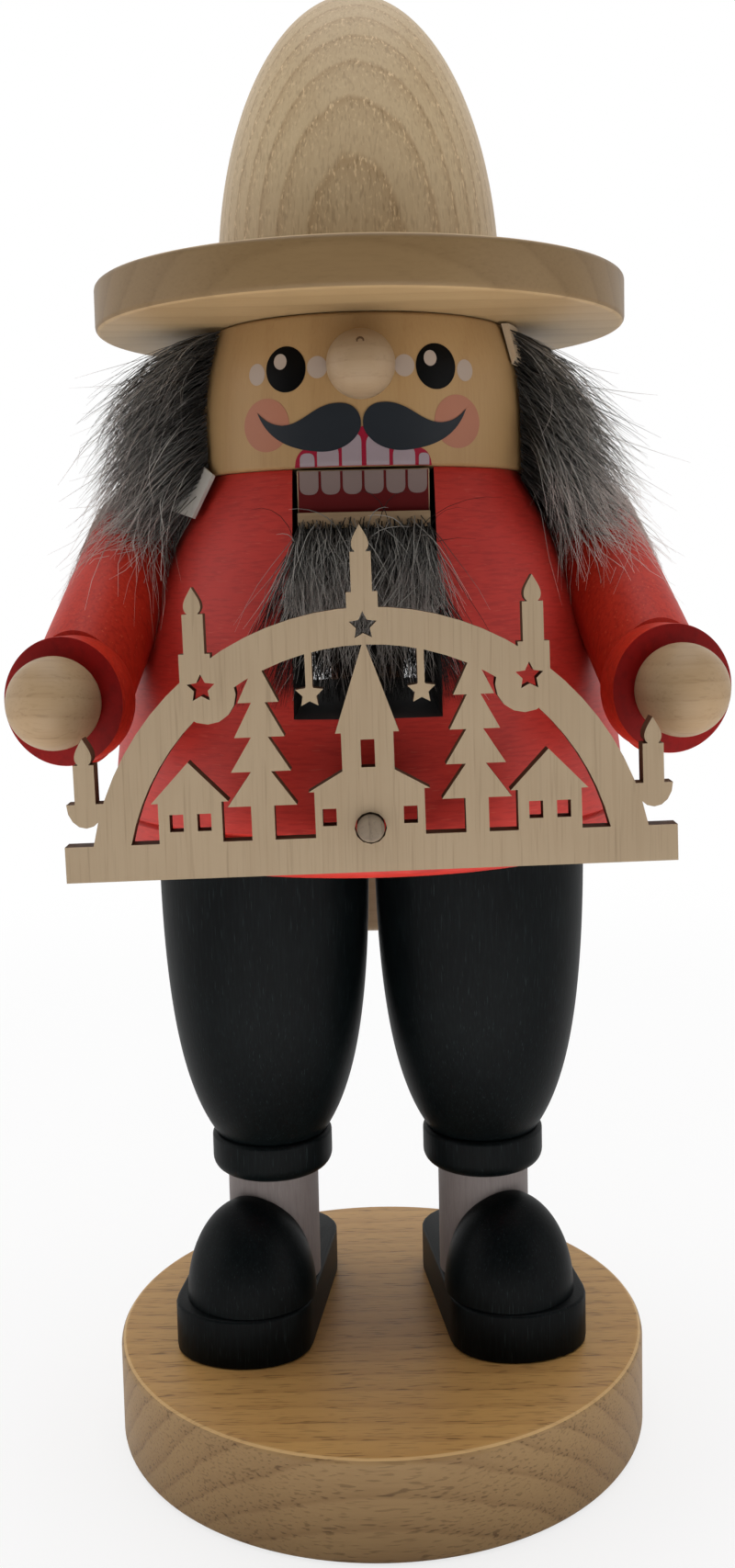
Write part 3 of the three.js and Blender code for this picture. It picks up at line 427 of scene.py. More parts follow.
def aim_camera():
    """The photograph's view: a near camera a little below the hat, pitched down and rolled."""
    right = Vector((1, 0, 0))
    ahead = Vector((0, math.cos(CAMERA_PITCH), -math.sin(CAMERA_PITCH)))
    up = Vector((0, math.sin(CAMERA_PITCH), math.cos(CAMERA_PITCH)))
    across = math.cos(CAMERA_ROLL) * right - math.sin(CAMERA_ROLL) * up
    upward = math.sin(CAMERA_ROLL) * right + math.cos(CAMERA_ROLL) * up
    data = bpy.data.cameras.new("camera")
    data.lens = CAMERA_LENS
    data.shift_x, data.shift_y = CAMERA_SHIFT
    camera = bpy.data.objects.new("camera", data)
    bpy.context.scene.collection.objects.link(camera)
    turn = Matrix((across, upward, -ahead)).transposed().to_4x4()
    camera.matrix_world = Matrix.Translation(CAMERA_PLACE) @ turn
    bpy.context.scene.camera = camera


def add_lamp(name, place, target, size, power):
    """A square soft lamp that looks at a point."""
    data = bpy.data.lights.new(name, "AREA")
    data.size = size
    data.energy = power
    lamp = bpy.data.objects.new(name, data)
    bpy.context.scene.collection.objects.link(lamp)
    lamp.visible_camera = False
    lamp.location = place
    lamp.rotation_euler = (Vector(target) - Vector(place)).to_track_quat("-Z", "Y").to_euler()


def light_scene():
    """A white tent, dim on the camera's side and bright behind, with soft lamps round it."""
    world = bpy.data.worlds.new("studio")
    bpy.context.scene.world = world
    world.use_nodes = True
    tent = Nodes(world.node_tree)
    direction = tent.node("ShaderNodeTexCoord", {}, {}, "Generated")
    glow = tent.level(tent.axis(direction, "Y"), *TENT_DEPTHS, *TENT_LEVELS)
    camera_ray = tent.node("ShaderNodeLightPath", {}, {}, "Is Camera Ray")
    white_to_camera = {"Value": camera_ray, "To Min": glow, "To Max": 1.0}
    background = world.node_tree.nodes["Background"].inputs
    tent.plug(background["Color"], (1, 1, 1, 1))
    tent.plug(background["Strength"], tent.node("ShaderNodeMapRange", {}, white_to_camera))
    for lamp in LAMPS:
        add_lamp(*lamp)


def lay_floor():
    """A pale floor that takes shadows and looks white to the camera away from the figure."""
    finish = Finish("floor", (0.9, 0.9, 0.9), 0.9, 0.5)
    camera_ray = finish.node("ShaderNodeLightPath", {}, {}, "Is Camera Ray")
    glow = finish.node("ShaderNodeEmission", {}, {"Color": (1, 1, 1, 1), "Strength": 1.0})
    diffuse = Value(finish, finish.surface.outputs[0])
    measure = {"operation": "LENGTH"}
    distance = finish.node("ShaderNodeVectorMath", measure, {0: finish.place()}, "Value")
    share = camera_ray * finish.level(distance, FLOOR_NEAR, FLOOR_FAR, FLOOR_NEAR_GLOW, 1.0)
    mixed = finish.node("ShaderNodeMixShader", {}, {0: share, 1: diffuse, 2: glow})
    finish.plug(finish.tree.nodes["Material Output"].inputs["Surface"], mixed)
    floor = start("floor", bpy.ops.mesh.primitive_plane_add, size=FLOOR_SIZE)
    floor.data.materials.append(finish.material)


# Modelling

def choose(piece):
    """Makes a piece the only one selected."""
    bpy.ops.object.select_all(action="DESELECT")
    piece.select_set(True)
    bpy.context.view_layer.objects.active = piece


def edit_all():
    bpy.ops.object.mode_set(mode="EDIT")
    bpy.ops.mesh.select_all(action="SELECT")


def start(name, shape, **settings):
    """A new mesh from one of Blender's shapes, selected alone."""
    bpy.ops.object.select_all(action="DESELECT")
    shape(**settings)
    piece = bpy.context.object
    piece.name = name
    return piece


def trace(name, points):
    """A chain of edges through the points."""
    piece = start(name, bpy.ops.mesh.primitive_plane_add, size=MM)
    edit_all()
    bpy.ops.mesh.merge(type="CENTER")
    last = Vector((0, 0, 0))
    for number, point in enumerate(points):
        step = Vector(point) * MM - last
        if number:
            bpy.ops.mesh.extrude_region_move(TRANSFORM_OT_translate={"value": step})
        else:
            bpy.ops.transform.translate(value=step)
        last = Vector(point) * MM
    return piece


def fill_outline():
    """Turns the traced chain into one flat face."""
    bpy.ops.mesh.select_all(action="SELECT")
    bpy.ops.mesh.edge_face_add()


def close_up():
    """Joins the mesh's doubled points, turns its faces outwards and leaves edit mode."""
    bpy.ops.mesh.select_all(action="SELECT")
    bpy.ops.mesh.remove_doubles(threshold=1e-6)
    bpy.ops.mesh.normals_make_consistent(inside=False)
    bpy.ops.object.mode_set(mode="OBJECT")


def turned(name, profile, steps, first=0, last=360):
    """A profile of radius and height, turned round the upright axis from one angle to another."""
    piece = trace(name, [(radius, 0, height) for radius, height in profile])
    if last - first < 360:
        fill_outline()
    bpy.ops.mesh.select_all(action="SELECT")
    sweep = math.radians(last - first)
    bpy.ops.mesh.spin(steps=steps, angle=sweep, center=(0, 0, 0), axis=(0, 0, -1))
    close_up()
    if first:
        place(piece, turn=(0, 0, math.radians(first)))
    return piece


def disc(radius, low, high):
    """The profile of a plain disc or rod."""
    return [(0, low), (radius, low), (radius, high), (0, high)]


def cut_ball(name, radius, segments, rings, point, normal, **side):
    """A ball with a flat where a plane cuts one side off."""
    sphere = bpy.ops.mesh.primitive_uv_sphere_add
    piece = start(name, sphere, segments=segments, ring_count=rings, radius=radius)
    edit_all()
    bpy.ops.mesh.bisect(plane_co=point, plane_no=normal, use_fill=True, **side)
    bpy.ops.object.mode_set(mode="OBJECT")
    return piece


def place(piece, move=(0, 0, 0), turn=(0, 0, 0), scale=(1, 1, 1)):
    """Turns, scales and moves a piece, and keeps its origin at the frame's origin."""
    choose(piece)
    piece.location = Vector(move) * MM
    piece.rotation_euler = turn
    piece.scale = scale
    bpy.ops.object.transform_apply(location=True, rotation=True, scale=True)


def aim(piece, move, direction):
    """Turns a piece's upright axis along a direction and moves its origin to a point."""
    place(piece, move, Vector(direction).to_track_quat("Z", "Y").to_euler())


def modify(piece, kind, **settings):
    """Adds a modifier and applies it."""
    choose(piece)
    change = piece.modifiers.new(kind.lower(), kind)
    for key, value in settings.items():
        setattr(change, key, value)
    bpy.ops.object.modifier_apply(modifier=change.name)


def round_edges(piece, width, segments=3, angle=35):
    """Rounds the edges that bend by more than an angle in degrees."""
    limit = math.radians(angle)
    settings = {"segments": segments, "limit_method": "ANGLE", "angle_limit": limit}
    modify(piece, "BEVEL", width=width * MM, **settings)


def combine(piece, other, operation):
    """Cuts another solid out of a piece, or unites the two."""
    modify(piece, "BOOLEAN", operation=operation, solver="EXACT", object=other)
    bpy.data.objects.remove(other)


def block(name, low, high):
    """A box between two corners."""
    piece = start(name, bpy.ops.mesh.primitive_cube_add, size=1)
    middle = [(a + b) / 2 for a, b in zip(low, high)]
    place(piece, middle, scale=[(b - a) * MM for a, b in zip(low, high)])
    return piece


def traced_from(node, name):
    """A clean copy of a CAD node's form, its flat faces made whole."""
    piece = bpy.data.objects.new(name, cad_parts[node].data.copy())
    bpy.context.scene.collection.objects.link(piece)
    choose(piece)
    edit_all()
    bpy.ops.mesh.remove_doubles(threshold=1e-6)
    bpy.ops.mesh.dissolve_limited(angle_limit=math.radians(1))
    close_up()
    return piece


def dress_faces(piece, materials, rule):
    """Gives each face the material whose number the rule picks."""
    piece.data.materials.clear()
    for material in materials:
        piece.data.materials.append(material)
    for face in piece.data.polygons:
        face.material_index = rule(face)


def settle(piece, material, nodes=(), body="figure", smooth=32):
    """Gives a piece its material, shading, the body it rides on and the nodes it stands for.

    A piece that dress_faces has dressed brings no material here.
    """
    choose(piece)
    bpy.ops.object.shade_smooth_by_angle(angle=math.radians(smooth))
    if material:
        piece.data.materials.clear()
        piece.data.materials.append(material)
    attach(piece, body)
    if nodes:
        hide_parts(*nodes)
    return piece


def bezier(points, count):
    """Points along a Bezier curve of any degree."""
    share = np.linspace(0, 1, count)[:, None]
    degree = len(points) - 1
    total = sum(
        math.comb(degree, i) * share**i * (1 - share) ** (degree - i) * np.array(point, float)
        for i, point in enumerate(points)
    )
    return [tuple(float(value) for value in row) for row in total]


def arc(across, up, radius, first, last, count):
    """Points along a round corner, its angles in degrees."""
    angles = np.radians(np.linspace(first, last, count))
    return [(across + radius * math.cos(angle), up + radius * math.sin(angle)) for angle in angles]


def radius_on(curve, height):
    """The radius of a turned curve at a height."""
    points = np.array(bezier(curve, 60))
    return np.interp(height, points[:, 1], points[:, 0])


# Figure

def make_base(materials):
    def look(face):
        if face.normal.z > LEVEL_FACE:
            return 1
        return 2 if face.normal.z > SLOPED_FACE else 0

    base = turned("base", disc(BASE_RADIUS, 0, BASE_HEIGHT), 160)
    round_edges(base, BASE_ROUND, 4)
    # The top takes a paler golden copy, partly own tone and partly painted light; the edge a paler
    # one, partly wear and partly a painted highlight
    looks = [materials[name] for name in ("beech_base", "beech_top", "beech_edge")]
    dress_faces(base, looks, look)
    settle(base, None, ["base_disc"])


def make_leg(materials, side, word):
    aside = (side * LEG_OUT, 0, 0)
    low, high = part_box(f"leg_dowel_{word}")
    sock = turned(f"sock_{word}", disc(SOCK_RADIUS, low.z / MM, high.z / MM), 64)
    place(sock, aside)
    settle(sock, materials["white_paint"], [f"leg_dowel_{word}"])

    bottom, edge = CUFF_ROLL_ROUND, CUFF_ROLL_EDGE
    profile = [(0, CUFF_ROLL_LOW)]
    profile += arc(CUFF_ROLL_RADIUS - bottom, CUFF_ROLL_LOW + bottom, bottom, -90, 0, 9)
    profile += arc(CUFF_ROLL_RADIUS - edge, TROUSER_FOOT - edge, edge, 0, 90, 6)
    profile += [*bezier(TROUSER_CURVE, 40), (0, TROUSER_CURVE[-1][1])]
    trouser = turned(f"trouser_{word}", profile, 96)
    place(trouser, aside)
    settle(trouser, materials["black_paint"], [f"trouser_{word}"], smooth=40)

    sole = traced_from(f"sole_{word}", f"shoe_sole_{word}")
    round_edges(sole, SOLE_ROUND)
    settle(sole, materials["black_paint"], [f"sole_{word}"])

    cap = cut_ball(f"shoe_cap_{word}", 1, 64, 48, (0, 0, 0), (0, 0, 1), clear_inner=True)
    size = [value * MM for value in (TOE_HALF_WIDTH, TOE_HALF_LENGTH, TOE_HEIGHT)]
    place(cap, (side * SHOE_OUT, TOE_AHEAD, TOE_LOW), scale=size)
    place(cap, turn=(0, 0, math.radians(side * SHOE_TURN)))
    place(cap, aside)
    settle(cap, materials["black_paint"], [f"toe_cap_{word}"])


def in_slot(face):
    """Whether a face of the coat is a wall or the floor of its slot."""
    inside = abs(face.center.x) < (SLOT_HALF_WIDTH + SLOT_TOLERANCE) * MM
    low = abs(face.center.z - SLOT_FLOOR * MM) < SLOT_TOLERANCE * MM
    wall = inside and abs(face.normal.x) > SQUARE_FACE
    floor = low and face.normal.z > SQUARE_FACE
    return wall or floor


def make_coat(materials):
    hem = COAT_CURVE[0][0]
    profile = [(0, COAT_LOW)]
    profile += arc(hem - COAT_HEM_ROUND, COAT_LOW + COAT_HEM_ROUND, COAT_HEM_ROUND, -90, 0, 9)
    profile += [(hem, GROOVE_HEIGHT - GROOVE_WIDTH / 2), (hem - GROOVE_DEPTH, GROOVE_HEIGHT)]
    profile += [*bezier(COAT_CURVE, 48), (0, COAT_TOP)]
    coat = turned("coat", profile, 160)
    low = (-SLOT_HALF_WIDTH, -SLOT_CUT_REACH, SLOT_FLOOR)
    high = (SLOT_HALF_WIDTH, SLOT_CUT_REACH, SLOT_CUT_TOP)
    combine(coat, block("slot", low, high), "DIFFERENCE")
    # The slot's walls and floor take near black: painted shade
    looks = [materials["red_paint"], materials["slot_painted_shade"]]
    dress_faces(coat, looks, lambda face: 1 if in_slot(face) else 0)
    settle(coat, None, ["coat_body"], smooth=28)


def make_lever(materials):
    lever = traced_from("jaw_lever", "lever_wood")
    round_edges(lever, LEVER_ROUND, 2, 40)
    return settle(lever, materials["pale"], ["jaw_lever"], body="lever")


def make_head(materials):
    profile = [(0, HEAD_LOW), (HEAD_RADIUS, HEAD_LOW), *bezier(HEAD_CURVE, 24), (0, HEAD_TOP)]
    head = turned("head_block", profile, 192)
    round_edges(head, HEAD_ROUND, 4, 50)
    settle(head, materials["honey"], ["head"])

    radius = NOSE_RADIUS * MM
    flat = (0, NOSE_FLAT * radius, 0)
    nose = cut_ball("nose_ball", radius, 64, 32, flat, (0, 1, 0), clear_outer=True)
    place(nose, (0, NOSE_AHEAD, NOSE_HEIGHT))
    settle(nose, materials["pale"], ["nose"])
    return head, nose


def make_hat(materials):
    brim = turned("brim", disc(BRIM_RADIUS, BRIM_LOW, BRIM_TOP), 160)
    round_edges(brim, BRIM_ROUND, 4)
    # The top and the underside take the paler copy, painted light from below; the side keeps the
    # darker ash
    looks = [materials["ash_brim"], materials["ash_brim_face"]]
    dress_faces(brim, looks, lambda face: 1 if abs(face.normal.z) > SLOPED_FACE else 0)
    settle(brim, None, ["hat_brim"])

    lean = math.acos(CROWN_FLAT / CROWN_RADIUS)
    scale = (CROWN_TOP - CROWN_LOW) / math.sin(lean)
    dome = [
        (CROWN_RADIUS * math.cos(angle), CROWN_LOW + scale * math.sin(angle))
        for angle in np.linspace(0, lean, 56)
    ]
    crown = turned("crown", [(0, CROWN_LOW), *dome, (0, CROWN_TOP)], 128)
    round_edges(crown, CROWN_ROUND, 6, 30)
    settle(crown, materials["ash"], ["hat_crown"], smooth=50)


def make_arm(materials, side, word):
    shoulder = Vector((side * SHOULDER[0], SHOULDER[1], SHOULDER[2]))
    wrist = Vector((side * WRIST[0], WRIST[1], WRIST[2]))
    turn = math.radians(HAND_TURN)
    ahead = Vector((side * math.sin(turn), -math.cos(turn), 0))
    along = wrist - shoulder
    length = along.length + 2 * SLEEVE_RADIUS
    sleeve = turned(f"sleeve_tube_{word}", disc(SLEEVE_RADIUS, 0, length), 72)
    round_edges(sleeve, SLEEVE_ROUND, 5)
    aim(sleeve, shoulder, along)
    edit_all()
    end = (wrist - WRIST_GAP * ahead) * MM
    bpy.ops.mesh.bisect(plane_co=end, plane_no=ahead, use_fill=True, clear_outer=True)
    close_up()
    settle(sleeve, materials["red_sleeve"], [f"sleeve_{word}"])

    cuff = turned(f"cuff_disc_{word}", disc(CUFF_RADIUS, 0, CUFF_LENGTH), 96)
    round_edges(cuff, CUFF_ROUND, 2)
    # The front face takes the darker red: painted shade on the cuff's end
    looks = [materials["red_sleeve"], materials["dark_red"]]
    dress_faces(cuff, looks, lambda face: 1 if face.normal.z > LEVEL_FACE else 0)
    aim(cuff, wrist, ahead)
    settle(cuff, None, [f"cuff_{word}"])

    radius = HAND_RADIUS * MM
    flat = (0, 0, -HAND_FLAT * radius)
    hand = cut_ball(f"hand_ball_{word}", radius, 72, 40, flat, (0, 0, 1), clear_inner=True)
    aim(hand, wrist + ahead * HAND_AHEAD, ahead)
    settle(hand, materials["hand"], [f"hand_{word}"])


def flame(middle, bottom):
    """A flat teardrop on a candle, in the plane of the arch."""
    half = bezier(FLAME_CURVE, 14)
    outline = half + [(-x, z) for x, z in half[-2:0:-1]]
    front = ARCH_FRONT + FLAME_INSET
    piece = trace("flame", [(middle + x, front, bottom + z) for x, z in outline])
    fill_outline()
    depth = (0, (ARCH_THICKNESS - 2 * FLAME_INSET) * MM, 0)
    bpy.ops.mesh.extrude_region_move(TRANSFORM_OT_translate={"value": depth})
    close_up()
    place(piece, (0, 0, PEG_HEIGHT), (0, math.radians(-ARCH_TILT), 0))
    return piece


def make_arch(materials):
    arch = traced_from("candle_arch", "fretwork_arch")
    for middle, bottom in FLAME_PLACES:
        combine(arch, flame(middle, bottom), "UNION")
    looks = [materials["plywood"], materials["burnt_edge"]]
    dress_faces(arch, looks, lambda face: 0 if abs(face.normal.y) > SLOPED_FACE else 1)
    settle(arch, None, ["candle_arch"], smooth=25)

    low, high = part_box("arch_peg")
    cylinder = bpy.ops.mesh.primitive_cylinder_add
    peg = start("peg", cylinder, vertices=48, radius=PEG_RADIUS * MM, depth=high.y - low.y)
    round_edges(peg, PEG_ROUND, 4)
    aim(peg, (low + high) / 2 / MM, (0, -1, 0))
    settle(peg, materials["peg"], ["arch_peg"])


# Painted face

def patch(name, points, target, lift, material, body="figure", strip=STRIP):
    """Paint in an outline of x and z, cut into strips and laid on the wood behind it."""
    piece = trace(name, [(x, PAINT_START, z) for x, z in points])
    fill_outline()
    low, high = np.min(points, axis=0), np.max(points, axis=0)
    for number, normal in ((0, (1, 0, 0)), (1, (0, 0, 1))):
        for distance in np.arange(low[number] + strip, high[number], strip):
            bpy.ops.mesh.select_all(action="SELECT")
            point = [value * distance * MM for value in normal]
            bpy.ops.mesh.bisect(plane_co=point, plane_no=normal)
    close_up()
    modify(
        piece,
        "SHRINKWRAP",
        target=target,
        wrap_method="PROJECT",
        use_project_y=True,
        use_positive_direction=True,
        use_negative_direction=False,
        offset=lift * MM,
    )
    modify(piece, "SOLIDIFY", thickness=PAINT_THICKNESS * MM, offset=0)
    return settle(piece, material, body=body)


def ellipse(x, z, width, height):
    angles = np.linspace(0, math.tau, 48, endpoint=False)
    return [(x + width / 2 * math.cos(a), z + height / 2 * math.sin(a)) for a in angles]


def rectangle(half_width, low, high):
    return [(-half_width, low), (half_width, low), (half_width, high), (-half_width, high)]


def moustache_half(side):
    """One lobe: each of its curves starts where the one before it ends."""
    points = [point for curve, count in MOUSTACHE_CURVES for point in bezier(curve, count)[:-1]]
    return [(side * x, z) for x, z in points]


def tooth(left, right, low, high):
    """A tooth with rounded upper corners."""
    bend = min((right - left) / 2, high - low) * 0.9
    points = [(left, low), (right, low)]
    points += bezier([(right, high - bend), (right, high), (right - bend, high)], 7)
    return points + bezier([(left + bend, high), (left, high), (left, high - bend)], 7)


def paint_face(materials, head, nose, jaw):
    for side, word in SIDES:
        for name, out, aside, height, width, tall, lift, colour in FACE_SPOTS:
            outline = ellipse(side * out + aside, height, width, tall)
            patch(f"{name}_{word}", outline, head, lift, materials[colour])
        lobe = moustache_half(side)
        patch(f"moustache_{word}", lobe, head, MOUSTACHE_LIFT, materials["moustache_paint"])
    hook = [point for hook_arc in NOSE_MARK_ARCS for point in arc(0, *hook_arc, 9)]
    mark = materials["nose_mark"]
    patch("nose_mark", hook, nose, NOSE_MARK_LIFT, mark, strip=NOSE_MARK_STRIP)

    mouth = [(corner, MOUTH_LOW) for corner in MOUTH_CORNERS]
    mouth += [*bezier(MOUTH_RIGHT, 8), MOUTH_PEAK, *bezier(MOUTH_LEFT, 8)]
    patch("mouth_red", mouth, head, MOUTH_LIFT, materials["crimson_paint"], strip=MOUTH_STRIP)
    enamel = materials["tooth_paint"]
    for number, (left, right, top) in enumerate(UPPER_TEETH):
        points = tooth(left, right, MOUTH_LOW + PAINT_EDGE, top)
        name = f"upper_tooth_{number + 1}"
        patch(name, points, head, UPPER_TOOTH_LIFT, enamel, strip=MOUTH_STRIP)

    top = JAW_TOP - JAW_EDGE
    gum = rectangle(GUM_HALF_WIDTH, CHIN_TOP + PAINT_EDGE, top)
    patch("gum", gum, jaw, GUM_LIFT, materials["gum_paint"], body="lever")
    enamel = materials["lower_tooth_paint"]
    width = 2 * GUM_HALF_WIDTH / LOWER_TEETH
    for number in range(LOWER_TEETH):
        left = -GUM_HALF_WIDTH + number * width
        points = tooth(left + LOWER_TEETH_GAP, left + width - LOWER_TEETH_GAP, LOWER_TEETH_LOW, top)
        hanging = [(x, LOWER_TEETH_LOW + top - z) for x, z in points]
        name = f"lower_tooth_{number + 1}"
        patch(name, hanging, jaw, LOWER_TOOTH_LIFT, enamel, body="lever")


# Fur

def strands(name, paths, width, tone, material, fade, root):
    """Tapered three-sided hairs along paths of shape (hairs, points, 3), in millimetres.

    The attribute tip runs from root at the skin to fade at the end, and tone is even on a hair.
    """
    hairs, points = paths.shape[:2]
    along = np.gradient(paths, axis=1)
    along /= np.linalg.norm(along, axis=2, keepdims=True)
    across = np.cross(along, (0.31, 0.23, 0.92))
    across /= np.linalg.norm(across, axis=2, keepdims=True)
    upward = np.cross(across, along)
    share = np.linspace(0, 1, points)
    thick = width[:, None] * (1 - STRAND_TAPER * share**2)
    corners = np.radians((90, 210, 330))[:, None]
    ring = np.cos(corners) * across[:, :, None] + np.sin(corners) * upward[:, :, None]
    corner_points = (paths[:, :, None] + thick[:, :, None, None] * ring) * MM
    number = np.arange(hairs * points * 3).reshape(hairs, points, 3)
    turned_on = np.roll(number, -1, axis=2)
    quads = (number[:, :-1], turned_on[:, :-1], turned_on[:, 1:], number[:, 1:])
    mesh = bpy.data.meshes.new(name)
    faces = np.stack(quads, axis=3).reshape(-1, 4)
    mesh.from_pydata(corner_points.reshape(-1, 3), [], faces.tolist())
    tips = root[:, None] + (fade - root)[:, None] * share
    tones = np.broadcast_to(tone[:, None], (hairs, points))
    for key, values in (("tip", tips), ("tone", tones)):
        attribute = mesh.attributes.new(key, "FLOAT", "POINT")
        attribute.data.foreach_set("value", np.repeat(values.ravel(), 3).astype(np.float32))
    mesh.polygons.foreach_set("use_smooth", np.ones(len(mesh.polygons), bool))
    mesh.materials.append(material)
    piece = bpy.data.objects.new(name, mesh)
    bpy.context.scene.collection.objects.link(piece)
    return piece


def keep_off_coat(paths):
    """Pushes hairs out of the coat and the sleeves."""
    radius = np.hypot(paths[..., 0], paths[..., 1])
    least = radius_on(COAT_CURVE, paths[..., 2]) + FUR_GAP
    inside = (radius < least) & (paths[..., 2] < COAT_TOP)
    factor = np.where(inside, least / np.maximum(radius, 1), 1)
    paths[..., 0] *= factor
    paths[..., 1] *= factor
    clear = SLEEVE_RADIUS + FUR_GAP
    for side, _ in SIDES:
        shoulder = np.array((side * SHOULDER[0], SHOULDER[1], SHOULDER[2]))
        along = np.array((side * WRIST[0], WRIST[1], WRIST[2])) - shoulder
        length = np.linalg.norm(along)
        along /= length
        reach = np.clip((paths - shoulder) @ along, 0, length)
        away = paths - shoulder - reach[..., None] * along
        distance = np.linalg.norm(away, axis=2)
        push = np.where(distance < clear, clear - distance, 0)
        paths += away / np.maximum(distance, 0.01)[..., None] * push[..., None]
    return paths


def droop(share, first, last):
    """How far out and down a hair of length 1 has gone when its slope changes evenly."""
    slope = first[:, None] + (last - first)[:, None] * share
    step = np.diff(share, axis=1)
    middle = (slope[:, 1:] + slope[:, :-1]) / 2
    start = np.zeros((len(first), 1))
    out = np.hstack((start, np.cumsum(np.cos(middle) * step, axis=1)))
    down = np.hstack((start, np.cumsum(np.sin(middle) * step, axis=1)))
    return out, down


def hair_paths(rng, count, first, last, leaving, hanging, comb):
    """Hairs that leave the head in tufts and droop, with a few loose ones: see MANES."""
    tufts = count // HAIRS_PER_TUFT
    tuft_angle = rng.uniform(first, last, tufts)
    tuft_height = rng.uniform(ROOT_LOW, TUFT_TOP, tufts)
    tuft_lean = rng.normal(0, TUFT_LEAN, tufts)
    tuft_slope = rng.normal(0, TUFT_SLOPE, tufts)
    tuft_length = rng.uniform(*HAIR_LENGTH, tufts)
    tuft = rng.integers(0, tufts, count)
    stray = rng.random(count) < HAIR_STRAY
    loose = np.where(stray, HAIR_STRAY_LOOSE, 1.0)

    # Roots
    angle = tuft_angle[tuft] + rng.normal(0, TUFT_DEGREES, count)
    angle = np.radians(np.clip(angle, first, last))
    height = tuft_height[tuft] + rng.normal(0, TUFT_HEIGHT, count)
    height = np.clip(height, ROOT_LOW, ROOT_TOP)
    level = np.clip((height - HEAD_LOW) / (HEAD_TOP - HEAD_LOW), 0, 1)

    # Length, lean and slopes
    length = tuft_length[tuft] * rng.uniform(*HAIR_SHARE, count)
    length *= HAIR_LENGTH_LOW - HAIR_LENGTH_DROP * level
    length *= np.where(stray, HAIR_STRAY_LENGTH, 1.0)
    by_face = np.clip((COMB_END - np.abs(np.degrees(angle))) / COMB_SPAN, 0, 1)
    lean = tuft_lean[tuft] + rng.normal(0, HAIR_LEAN, count) * loose + comb * by_face
    flat, steep = (np.radians(low + (high - low) * level) for low, high in (leaving, hanging))
    leave = flat + 0.7 * tuft_slope[tuft] + rng.normal(0, HAIR_LEAVE, count) * loose
    hang = steep + tuft_slope[tuft] + rng.normal(0, HAIR_HANG, count) * loose

    # Paths
    share = np.linspace(0, 1, STRAND_POINTS)[None]
    out, down = droop(share, np.maximum(leave, 0.5 * flat), hang)
    size = rng.uniform(*WAVE_SIZE, count)[:, None]
    wave = size * np.sin(WAVE_TURN * share + rng.uniform(0, WAVE_TURN, count)[:, None]) * share
    radius = radius_on(HEAD_CURVE, height)[:, None] + ROOT_OUT + length[:, None] * out
    sweep = angle[:, None] + (lean * length)[:, None] * share**LEAN_BEND / LEAN_REACH
    sweep += wave / WAVE_REACH
    ends = (math.radians(first - MANE_OVERHANG), math.radians(last + MANE_OVERHANG))
    sweep = np.clip(sweep, *ends)
    upward = np.minimum(height[:, None] - length[:, None] * down, BRIM_LOW - BRIM_GAP)
    paths = np.stack((np.sin(sweep) * radius, -np.cos(sweep) * radius, upward), axis=2)
    return keep_off_coat(paths), stray


